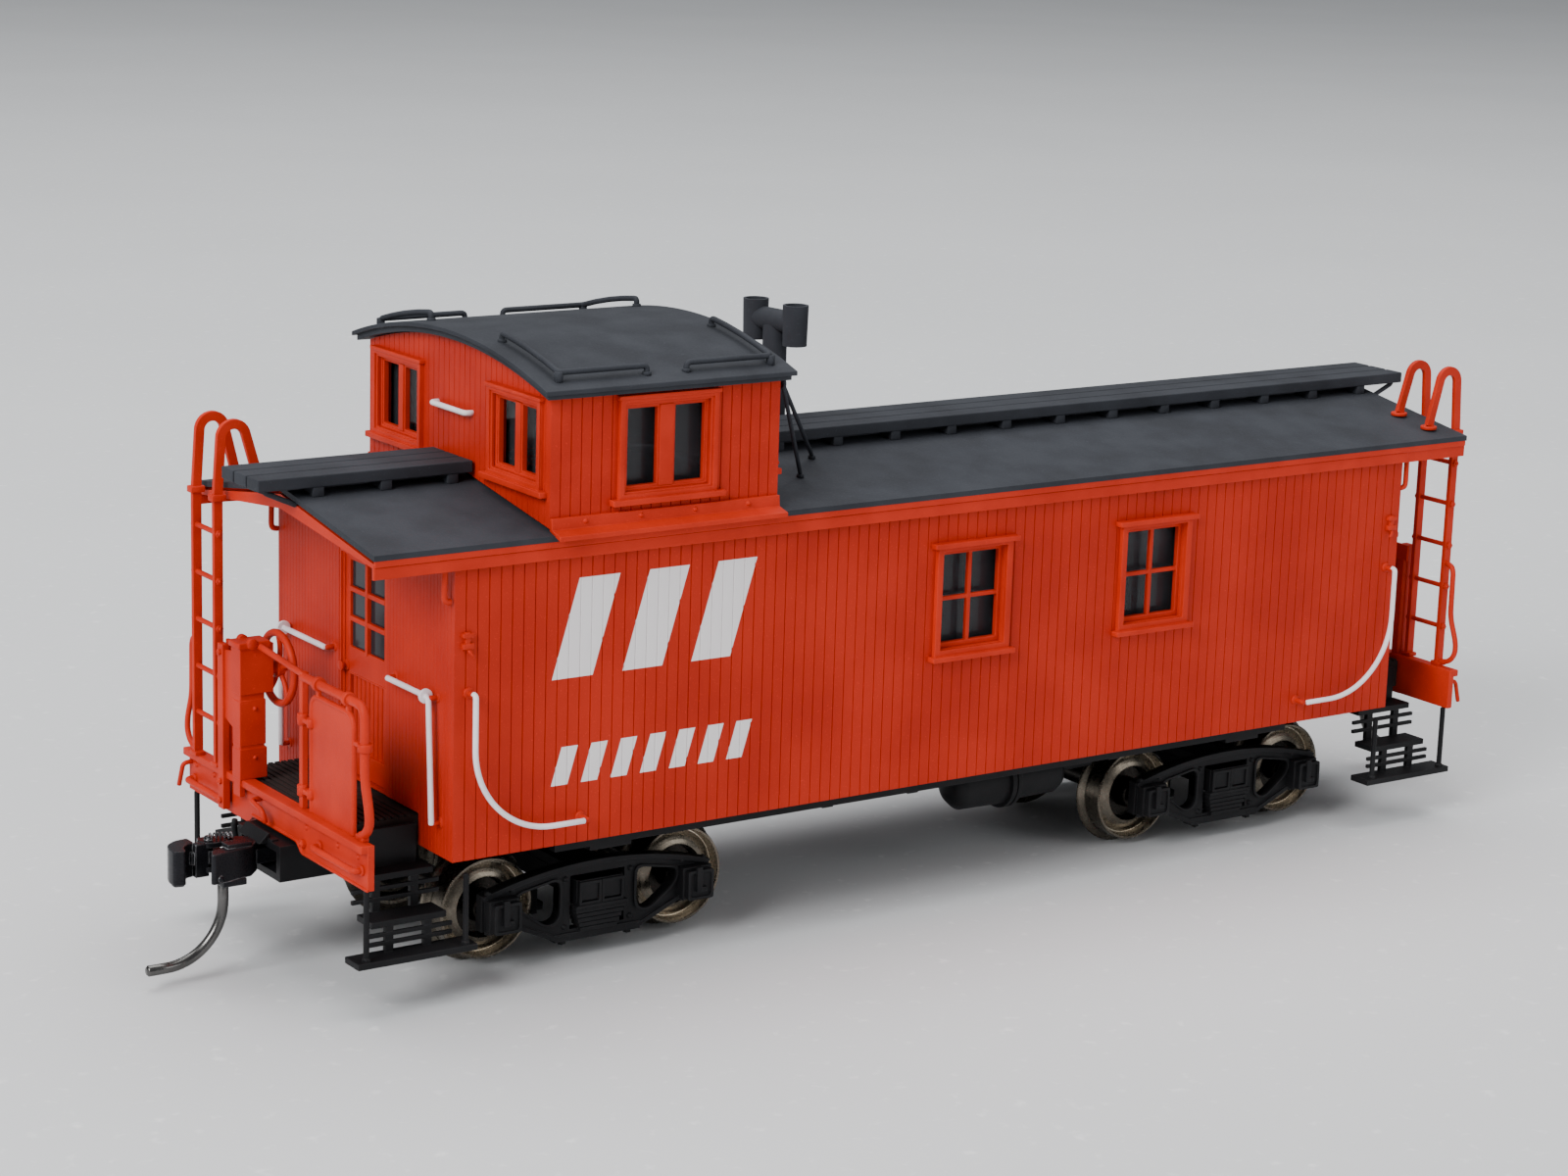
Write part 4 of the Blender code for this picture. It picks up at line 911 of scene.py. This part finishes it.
def door():
    """A six-light door with a beaded panel, set deep in the end wall, and its knob."""
    front, back, half = -55.4, -54.8, 4.3
    low, high = DECK_TOP + 0.6, 36.6
    middle = 25.5
    solids = [
        collar("x", rectangle(-half, middle, half, high), rectangle(-3.3, 27.9, 3.3, 36.0), front, back),
        collar("x", rectangle(-half, low, half, middle), rectangle(-3.3, 18.3, 3.3, 25.3), front, back),
        block((front - 0.12, -0.22, 27.7), (back - 0.05, 0.22, 36.1)),
    ]
    for z in (30.55, 33.3):
        solids.append(block((front - 0.05, -3.4, z - 0.24), (back - 0.08, 3.4, z + 0.24)))
    beads = 8
    pitch = 6.6 / beads
    for bead in range(beads):
        y = -3.3 + pitch * (bead + 0.5)
        outline = [(back, y - pitch / 2 + 0.02), (front + 0.3, y - pitch / 2 + 0.14), (front + 0.2, y)]
        outline += [(front + 0.3, y + pitch / 2 - 0.14), (back, y + pitch / 2 - 0.02)]
        solids.append(prism("z", outline, 18.2, 25.6, 0))
    profile = [
        (0, 0.5), (-0.1, 0.5), (-0.15, 0.2), (-0.4, 0.2), (-0.5, 0.42), (-0.7, 0.45), (-0.8, 0.3),
        (-0.82, 0),
    ]
    solids.append(turned("x", (front, 3.85, 26.0), profile, 20))
    return solids


def door_case():
    """The reveal round a door, and a stop bead on its outer edge."""
    low = DECK_TOP + 0.3
    opening = rectangle(-4.58, low, 4.58, 36.88)
    return [
        collar("x", opening, rectangle(-4.33, low + 0.2, 4.33, 36.65), -55.8, -54.7, 0.03),
        collar("x", opening, rectangle(-4.1, low + 0.15, 4.1, 36.45), -55.55, -55.42, 0.03),
    ]


def steps():
    """Open steps for one corner, near side, about the middle of the stair."""
    solids = [
        block((-3.7, -13.2, 11.0), (3.7, -10.75, 11.6)),
        block((-3.7, -15.7, 7.6), (3.7, -12.9, 8.2)),
        block((-5.9, -17.5, 4.7), (5.9, -14.9, 5.3)),
        block((-3.1, -11.2, 11.3), (3.1, -10.75, 15.1)),
    ]
    for y, heights in ((-13.2, (10.1, 9.15)), (-15.7, (6.75, 5.95))):
        for z in heights:
            solids.append(block((-4.3, y, z), (4.3, y + 0.35, z + 0.38), 0.05))
    for x in (-1.9, 1.9):
        solids.append(block((x - 0.4, -13.15, 8.0), (x + 0.4, -12.6, 11.2)))
        solids.append(block((x - 0.4, -15.65, 5.1), (x + 0.4, -15.1, 7.8)))
    for x in (-4.9, 4.9):
        solids.append(wire([(x, -17.0, 5.0), (x, -17.0, 11.8)], 0.27, 0))
        solids.append(nut("z", (x, -17.0, 5.3), 0.42, 0.3))
    return solids


def end_grabs():
    """White grab irons on the end wall, one each side of the door, with turned collars."""
    x = -56.75
    solids = []
    for route in (
        [(x, 5.6, 27.4), (x, 14.6, 27.4), (x, 14.6, 15.9)],
        [(x, -6.4, 27.3), (x, -14.0, 27.3), (x, -14.7, 15.9)],
    ):
        solids.append(wire(route, 0.27, 0.55))
        corner = Vector(route[1])
        inward = math.copysign(0.55, -corner.y)
        solids.append(disc("y", corner + Vector((0, inward, 0)), 0.66, -0.16, 0.16, 24))
    return solids


def grab_feet():
    """Red feet that hold the white grab irons of end A off the walls, near side and far side."""
    wall, x = -55.75, -56.75
    solids = []
    for y, z in ((5.5, 27.4), (14.6, 16.0), (14.6, 27.2), (-6.3, 27.3), (-14.0, 27.2), (-14.7, 16.0)):
        solids.append(wire([(wall, y, z), (x, y, z)], 0.24, 0, 10))
        solids.append(disc("x", (wall, y, z), 0.5, -0.2, 0.05, 14))
    for side in (-1, 1):
        for grab_x, z in ((-54.45, 28.1), (-42.9, 15.3)):
            solids.append(wire([(grab_x, side * 16.8, z), (grab_x, side * 18.3, z)], 0.26, 0, 10))
            solids.append(disc("y", (grab_x, side * 16.9, z), 0.5, -0.2, 0.2, 14))
    return solids


def side_grab():
    """The white curved iron, from its top down and along the side."""
    stand, x = -18.3, -54.45
    top, foot, bend = 28.2, 15.3, 8.0
    curve = arc((x + bend, foot + bend), bend, 180, 270, 16)
    path = [(x, stand + 0.5, top), (x, stand, top - 0.1)] + [(a, stand, b) for a, b in curve]
    return [wire(path + [(-43.2, stand, foot)], 0.26, 0.25, 14)]


def marker_brackets():
    """The lamp brackets, grab hooks and eave wires at one end of the near side."""
    wall = -16.9
    solids = [
        block((-55.2, wall - 0.45, 32.1), (-54.1, wall + 0.05, 32.6)),
        block((-55.2, wall - 0.45, 33.1), (-54.1, wall + 0.05, 33.5)),
        block((-54.9, wall - 0.35, 32.0), (-54.4, wall + 0.05, 33.6)),
        wire([(-54.6, wall, 32.0), (-54.6, wall - 0.5, 31.9), (-54.2, wall - 0.55, 31.4)], 0.16, 0.3, 8),
    ]
    hook = [(-56.6, -15.6, 39.6), (-56.7, -16.6, 39.6), (-56.75, -16.6, 36.4), (-56.0, -16.6, 36.3)]
    solids.append(wire(hook, 0.27, 0.6))
    eave = [(-62.5, -16.9, 40.3), (-62.1, -16.9, 39.5), (-59.0, -16.9, 39.4), (-58.3, -16.9, 40.2)]
    solids.append(wire(eave, 0.2, 0.6, 8))
    return solids


def deck_boards():
    low, high = -63.6, -56.2
    count = 11
    pitch = (high - low) / count
    boards = []
    for i in range(count):
        start = low + i * pitch
        boards.append(block((start, -10.35, DECK_TOP), (start + pitch - 0.2, 10.35, DECK_TOP + 0.2), 0.04))
    return boards


def end_platforms():
    for end, place in ENDS:
        made = (
            ("ladder", ladder),
            ("end_sill", end_sill),
            ("brake_stand", brake_stand),
            ("brake_wheel", brake_wheel),
            ("end_railing", railing),
            ("door", door),
        )
        for name, shape in made:
            stands_for = f"{name}_{end}"
            piece(f"fine_{stands_for}", shape(), RED, place=place, replaces=[stands_for])
        piece(f"door_case_{end}", door_case(), RED, place=place)
        piece(f"end_grabs_{end}", end_grabs(), WHITE, place=place)
        piece(f"grab_feet_{end}", grab_feet(), RED, place=place)
        piece(f"deck_boards_{end}", deck_boards(), DECK, place=place)
        # Opaque dark pane in the door's upper lights: painted shade of the inside behind the glass.
        shade_pane = block((-55.1, -3.35, 27.7), (-55.0, 3.35, 36.15), 0)
        piece(f"door_glass_{end}", [shade_pane], DOOR_SHADE_PANE, place=place)
        hanger = wire([(-66.2, 4.9, 12.6), (-66.3, 4.9, 11.6), (-66.0, 4.2, 8.6)], 0.3, 0.8, 8)
        striker = block((-66.15, -2.4, 11.7), (-65.4, 2.4, 12.55), 0.1)
        slope = prism("y", [(-67.0, 12.1), (-65.9, 12.0), (-65.9, 13.0), (-66.1, 13.0)], -1.7, 2.7, 0.05)
        piece(f"striker_{end}", [striker, slope, hanger], BLACK, place=place)
    corners = {"near_a": STAY, "near_b": MIRROR_X, "far_a": MIRROR_Y, "far_b": TURN}
    for corner, place in corners.items():
        grab, stair = f"side_grab_{corner}", f"step_{corner}"
        piece(f"grab_{corner}", side_grab(), WHITE, place=place, replaces=[grab])
        middle = place @ Matrix.Translation((-59.4, 0, 0))
        piece(f"stair_{corner}", steps(), BLACK, place=middle, replaces=[stair])
        piece(f"brackets_{corner}", marker_brackets(), RED, place=place)


# Windows


def side_window():
    """A casing, cap, sill and recessed four-light sash, about x = 0 on the near side."""
    face, wall, inside = -17.4, -16.85, -16.0
    casing = rectangle(-4.45, 25.35, 4.45, 36.1)
    light = rectangle(-3.8, 26.0, 3.8, 35.6)
    sash = rectangle(-3.78, 26.05, 3.78, 35.55)
    pane = rectangle(-3.38, 26.55, 3.38, 35.1)
    solids = [
        collar("y", casing, light, face, wall),
        collar("y", rectangle(-3.9, 25.95, 3.9, 35.65), sash, wall - 0.1, inside - 0.02),
        collar("y", sash, pane, inside - 0.55, inside + 0.02),
        block((-5.0, -17.75, 35.95), (5.0, wall, 36.45)),
        block((-4.9, -17.85, 24.95), (4.9, wall, 25.45)),
        block((-0.22, inside - 0.5, 26.4), (0.22, inside - 0.05, 35.3)),
        block((-3.6, inside - 0.45, 30.62), (3.6, inside - 0.08, 31.04)),
    ]
    return solids


def side_windows():
    for number in (1, 2):
        low, high = node_box(f"window_near_{number}")
        middle = Matrix.Translation(((low.x + high.x) / 2, 0, 0))
        for side, flip in (("near", STAY), ("far", MIRROR_Y)):
            stands_for = f"window_{side}_{number}"
            piece(f"fine_{stands_for}", side_window(), RED, place=middle @ flip, replaces=[stands_for])


# Running gear


def sideframe():
    """A cast sideframe for the near side, about the truck's centre, with its journal boxes and springs."""
    half = HALF_WHEELBASE
    crown, radius = (0, -31.6), 41.0
    top = arc(crown, radius, 107.2, 72.8, 24)
    right = [(half + 1.9, 4.2), (half - 1.6, 4.2), (4.4, 2.0)]
    plate = prism("y", top + right + [(-x, z) for x, z in reversed(right)], -12.35, -11.3, 0)
    cutters = [block((-2.9, -14, 3.0), (2.9, -10, 8.1), 0)]
    rims = []
    for side in (-1, 1):
        window = [(4.1, 8.0), (8.6, 7.2), (8.4, 5.9), (5.4, 3.7), (4.1, 4.2)]
        window = softened([(side * a, b) for a, b in window], 0.9)
        middle = sum((Vector(pair) for pair in window), Vector((0, 0))) / len(window)
        wider = [tuple(middle + (Vector(pair) - middle) * 1.13) for pair in window]
        cutters.append(prism("y", window, -14, -10, 0))
        rims.append(collar("y", wider, window, -12.62, -11.35, 0.05))
        lower = [(side * (half - 1.4), 4.35), (side * 4.3, 2.3), (side * 3.0, 2.3)]
        rims.append(prism("y", strip(lower, 0.42), -12.62, -11.35, 0.05))
    chord = top + arc(crown, radius - 0.5, 72.8, 107.2, 24)
    solids = [bevelled(carve(plate, cutters), 0.04), prism("y", chord, -12.66, -11.35, 0.06)] + rims
    for side in (-1, 1):
        x = side * half
        solids.append(block((x - 1.55, -13.35, 4.15), (x + 1.55, -11.35, 7.3), 0.12))
        lid = rectangle(x - 1.35, 4.3, x + 1.35, 7.05)
        solids.append(prism("y", softened(lid, 0.3), -13.85, -13.2, 0.08))
        rim = softened(rectangle(x - 1.4, 4.25, x + 1.4, 7.1), 0.3)
        hollow = softened(rectangle(x - 1.12, 4.53, x + 1.12, 6.82), 0.3)
        solids.append(collar("y", rim, hollow, -14.05, -13.25, 0.05))
        solids.append(block((x - 0.55, -14.25, 5.0), (x + 0.05, -13.8, 7.45), 0.08))
        solids.append(block((x - 0.5, -14.2, 5.0), (x + 0.6, -13.82, 5.5), 0.08))
        for dx in (-1.2, 1.2):
            solids.append(nut("z", (x + dx, -12.3, 7.6), 0.33, 0.3))
            solids.append(nut("z", (x + dx, -12.3, 4.25), 0.33, -0.35))
    solids.append(block((-4.6, -12.55, 1.95), (4.6, -11.32, 2.75), 0.1))
    for leaf in range(5):
        reach, z = 2.65 - 0.17 * leaf, 5.0 - 0.47 * leaf
        solids.append(block((-reach, -13.1 + 0.08 * leaf, z - 0.4), (reach, -11.4, z), 0.06))
    pocket = rectangle(-2.45, 5.3, 2.45, 7.7)
    solids.append(prism("y", pocket, -12.75, -11.4, 0.05))
    for dx in (-1.2, 1.2):
        rim = rectangle(dx - 1.18, 5.35, dx + 1.18, 7.6)
        hollow = rectangle(dx - 0.92, 5.65, dx + 0.92, 7.3)
        solids.append(collar("y", rim, hollow, -13.2, -12.7, 0.05))
    solids.append(block((-2.75, -13.3, 5.05), (2.75, -12.3, 5.36), 0.06))
    for x in (-3.5, 3.5):
        solids.append(rivet("y", (x, -12.35, 7.9), 0.3, -1))
        solids.append(rivet("y", (x, -12.35, 3.3), 0.3, -1))
        solids.append(nut("z", (x, -11.95, 1.98), 0.42, -0.35))
    return solids


def wheel_pair():
    """Two wheels with a raised rim, a deep dished plate and a hub, on their axle, about its middle."""
    face, back, tread = 9.96, 7.2, 4.8
    dish = face - 0.42
    wheel = [
        (12.8, 0),
        (12.8, 0.25),
        (12.3, 0.6),
        (face + 0.15, 0.65),
        (face + 0.15, 1.25),
        (face + 0.05, 1.35),
        (face - 0.3, 1.45),
        (face - 1.5, 1.6),
        (face - 1.5, 2.6),
        (dish - 0.15, 2.78),
        (dish, 2.88),
        (dish - 0.03, 3.0),
        (dish - 0.18, 3.4),
        (dish - 0.42, 3.85),
        (dish - 0.62, 4.1),
        (dish - 0.62, 4.25),
        (face - 0.15, 4.42),
        (face, 4.5),
        (face, tread - 0.12),
        (face - 0.1, tread - 0.03),
        (back + 0.95, tread + 0.02),
        (back + 0.75, tread + 0.12),
        (back + 0.55, 5.25),
        (back + 0.4, 5.45),
        (back + 0.28, 5.5),
        (back + 0.1, 5.4),
        (back, 5.2),
        (back, 4.0),
        (back + 0.6, 3.5),
        (back + 0.6, 2.2),
        (back, 1.7),
        (back - 0.4, 1.5),
        (back - 0.5, 1.1),
    ]
    profile = wheel + [(-along, radius) for along, radius in reversed(wheel)]
    return [turned("y", (0, 0, 0), profile, 64)]


def truck_details():
    """Brake beams and brake shoes inside the truck, about its centre."""
    solids = []
    for side in (-1, 1):
        x = side * 3.9
        solids.append(block((x - 0.4, -8.6, 3.9), (x + 0.4, 8.6, 4.7), 0.1))
        for y in (-8.6, 8.6):
            ys = sorted((y, y - math.copysign(1.7, y)))
            shoe = sorted((side * 4.1, side * 4.75))
            solids.append(block((shoe[0], ys[0], 3.6), (shoe[1], ys[1], 6.4), 0.12))
    return solids


def trucks():
    repaint(BLACK, "truck_bolster_a", "truck_bolster_b")
    for end, flip in ENDS:
        centre = Matrix.Translation((-WHEEL_CENTRE_X if end == "a" else WHEEL_CENTRE_X, 0, 0))
        body = f"truck_{end}"
        for number, turn in ((1, flip), (2, flip @ TURN)):
            stands_for = f"sideframe_{end}_{number}"
            piece(f"fine_{stands_for}", sideframe(), BLACK, body, centre @ turn, [stands_for])
        piece(f"brake_beams_{end}", truck_details(), BLACK, body, centre)
        for number, x in ((1, -HALF_WHEELBASE), (2, HALF_WHEELBASE)):
            axle = (centre @ flip) @ Vector((x, 0, AXLE_Z))
            stands_for = f"wheelset_{end}_{number}"
            place = Matrix.Translation(axle)
            body_name = f"wheels_{end}_{number}"
            piece(f"fine_{stands_for}", wheel_pair(), NICKEL, body_name, place, [stands_for], axle)


def underframe():
    repaint(BLACK, "centre_sill", "draft_box_a", "draft_box_b")
    repaint(DECK, "floor")
    rivets = []
    for x in (-WHEEL_CENTRE_X, WHEEL_CENTRE_X):
        for y in range(-13, 14, 2):
            if abs(y) > 3:
                rivets.append(rivet("z", (x - 1.6, y, 11.0), 0.25, -1))
                rivets.append(rivet("z", (x + 1.6, y, 11.0), 0.25, -1))
    for x in (-58, -62.5, 58, 62.5):
        rivets.append(nut("z", (x, 0, 9.1), 0.9, -0.35))
    piece("underframe_rivets", rivets, BLACK)
    profile = [
        (4.2, 0), (4.3, 1.0), (4.6, 1.8), (5.4, 2.5), (10.3, 2.6), (10.4, 3.0), (10.85, 3.0), (10.9, 2.85),
    ]
    profile += [
        (11.05, 2.85), (11.1, 3.0), (11.5, 3.0), (11.6, 2.4), (17.0, 2.3), (17.7, 1.9), (18.1, 1.0),
        (18.2, 0.4),
    ]
    profile += [(22.5, 0.35), (22.5, 0)]
    centre = Vector((0, -9.0, 9.4))
    solids = [turned("x", centre, profile, 40)]
    solids += [block((x - 0.4, -9.6, 11.0), (x + 0.4, -8.4, 12.1)) for x in (7.5, 14.5)]
    for i in range(10):
        reach = Matrix.Rotation(2 * math.pi * i / 10, 3, "X") @ Vector((0, 0, 2.72))
        solids.append(nut("x", centre + reach + Vector((11.5, 0, 0)), 0.22, 0.18))
    piece("air_brake", solids, BLACK, replaces=["brake_cylinder"])


def coupler_head():
    """Shank, head, guard arm and lugs, in the car's own place at end A."""
    low, high = 9.4, 12.2
    x, y = KNUCKLE_PIN
    solids = [
        turned(
            "z", (COUPLER_PIVOT, 0, 0),
            [(10.05, 1.2), (10.05, 2.2), (11.45, 2.2), (11.45, 1.2), (10.05, 1.2)], 24,
        ),
        block((x + 2.0, -1.1, 10.05), (COUPLER_PIVOT - 1.8, 1.1, 11.45), 0.12),
        disc("z", (x, y, 0), 0.4, low + 0.2, high + 0.3, 16),
    ]
    head = [
        (x + 3.6, 1.0), (x + 3.6, -0.9), (x + 2.4, -2.2), (x - 0.2, -2.7), (x - 1.5, -3.05), (x - 1.8, -2.8),
    ]
    head += [(x - 1.2, -1.6), (x + 0.2, -1.1), (x + 1.2, -0.6), (x + 1.4, 1.7)]
    solids.append(prism("z", head, low, high, 0.14))
    lug = [
        (x + 2.0, 0.3), (x + 2.0, 1.6), (x + 0.7, 2.5), (x - 0.7, 2.5), (x - 1.1, 1.55), (x - 0.7, 0.6),
        (x, 0.3),
    ]
    solids.append(prism("z", lug, high - 0.5, high, 0.08))
    solids.append(prism("z", lug, low, low + 0.5, 0.08))
    solids.append(block((x - 0.6, -2.6, low - 0.55), (x + 1.8, -0.2, low + 0.1), 0.12))
    solids.append(rivet("y", (x - 0.9, -2.85, low + 0.45), 0.32, -1))
    solids.append(block((x + 0.2, -2.0, high - 0.1), (x + 2.6, -0.6, high + 0.35), 0.12))
    solids.append(coil((x + 1.9, 0.6, high + 0.35), (x - 0.2, 1.3, high + 0.35), 0.3, 0.07, 6))
    return solids


def trip_pin():
    x, y, low, bend = KNUCKLE_PIN[0] + 0.2, -0.95, 1.75, 5.5
    curve = arc((x - bend, low + bend), bend, 0, -90, 18)
    route = [(x, 9.2)] + curve + [(-77.6, low)]
    return [wire([(a, y, b) for a, b in route], 0.5, 0, 20)]


def knuckle():
    low, high = 9.0, 12.2
    hub = disc("z", (0, 0, 0), 1.05, 9.4 + 0.8, high - 0.8, 24)
    arm = [(-0.4, 0.9), (-2.0, 1.1), (-2.0, -0.7), (-0.4, -0.9)]
    outer = [(-1.5, 1.3), (-2.9, 1.1), (-3.9, 0.3), (-4.3, -0.9), (-4.3, -2.1), (-3.2, -2.3)]
    hook = softened(outer + [(-2.9, -1.1), (-2.3, -0.4), (-1.5, -0.3)], 0.35, 3)
    jaw = prism("z", hook, low, high, 0.12)
    web = block((-1.7, -0.95, low + 0.05), (-0.35, -0.12, high - 0.05), 0.1)
    nose = [(-4.28, -1.2), (-4.28, -2.05), (-3.3, -2.25), (-3.15, -1.2)]
    solids = [
        hub, prism("z", arm, 10.2, high - 0.82, 0.1), jaw, web,
        prism("z", nose, low - 0.15, high - 0.1, 0.2),
    ]
    return [moved(join(solids), Matrix.Translation((*KNUCKLE_PIN, 0)))]


def couplers():
    for end, place in ENDS:
        swing, hook = f"coupler_{end}_body", f"knuckle_{end}_body"
        stands_for, hook_node = f"coupler_{end}", f"knuckle_{end}"
        piece(f"fine_{stands_for}", coupler_head(), COUPLER, swing, place, [stands_for])
        piece(f"trip_pin_{end}", trip_pin(), BURNISHED, swing, place)
        piece(f"fine_{hook_node}", knuckle(), COUPLER, hook, place, [hook_node])


# Studio


def studio():
    floor = bmesh.new()
    bmesh.ops.create_grid(floor, x_segments=1, y_segments=1, size=6.0)
    mesh = bpy.data.meshes.new("studio_floor")
    floor.to_mesh(mesh)
    floor.free()
    stage = bpy.data.objects.new("studio_floor", mesh)
    bpy.context.scene.collection.objects.link(stage)
    pale = surface("studio_grey", (0.66, 0.67, 0.68), (0.68, 0.69, 0.70), 0.7, 0.0, 2.0, 0.01, 90.0)
    mesh.materials.append(pale)

    def softbox(name, place, aim, size, watts):
        lamp = bpy.data.lights.new(name, "AREA")
        lamp.shape = "RECTANGLE"
        lamp.size, lamp.size_y = size
        lamp.energy = watts
        lamp_object = bpy.data.objects.new(name, lamp)
        lamp_object.location = place
        lamp_object.rotation_euler = (Vector(aim) - Vector(place)).to_track_quat("-Z", "Y").to_euler()
        bpy.context.scene.collection.objects.link(lamp_object)

    softbox("key", (-0.85, -0.3, 0.6), (0, 0, 0.02), (0.5, 0.5), 11.0)
    softbox("top", (0.1, 0.2, 1.0), (0, 0, 0), (1.1, 0.9), 12.0)
    softbox("fill", (0.5, -0.9, 0.45), (0, 0, 0.02), (0.6, 0.5), 2.6)
    world = bpy.data.worlds.new("studio")
    world.use_nodes = True
    world.node_tree.nodes["Background"].inputs["Color"].default_value = (0.93, 0.96, 1.0, 1)
    world.node_tree.nodes["Background"].inputs["Strength"].default_value = 0.3
    bpy.context.scene.world = world


def camera():
    """Stands off the near side at end A, slightly above, and leans a little."""
    azimuth, elevation, roll = math.radians(-34.748), math.radians(13.128), 0.0318
    aim = Vector((9.6145, 27.9758, 21.2133)) * MM
    distance = 375.53 * MM
    back = Vector(
        (
            math.sin(azimuth) * math.cos(elevation),
            -math.cos(azimuth) * math.cos(elevation),
            math.sin(elevation),
        )
    )
    level = Vector((math.cos(azimuth), math.sin(azimuth), 0))
    upright = back.cross(level)
    right = math.cos(roll) * level + math.sin(roll) * upright
    up = math.cos(roll) * upright - math.sin(roll) * level
    place = Matrix((right, up, back)).transposed().to_4x4()
    place.translation = aim + back * distance
    lens = bpy.data.cameras.new("camera")
    lens.lens = 80.18
    lens.sensor_width = 36
    lens.clip_start = 0.01
    viewer = bpy.data.objects.new("camera", lens)
    viewer.matrix_world = place
    bpy.context.scene.collection.objects.link(viewer)
    bpy.context.scene.camera = viewer


camera()
studio()
repaint(ROOF, "main_roof")
repaint(RED, "eave_trim")
repaint(GLAZING, "cupola_glazing", "glazing_near", "glazing_far")
body_siding()
cupola_walls()
cupola_cap()
cupola_rails()
cupola_braces()
smoke_jack()
running_boards()
eaves()
end_platforms()
side_windows()
trucks()
underframe()
couplers()
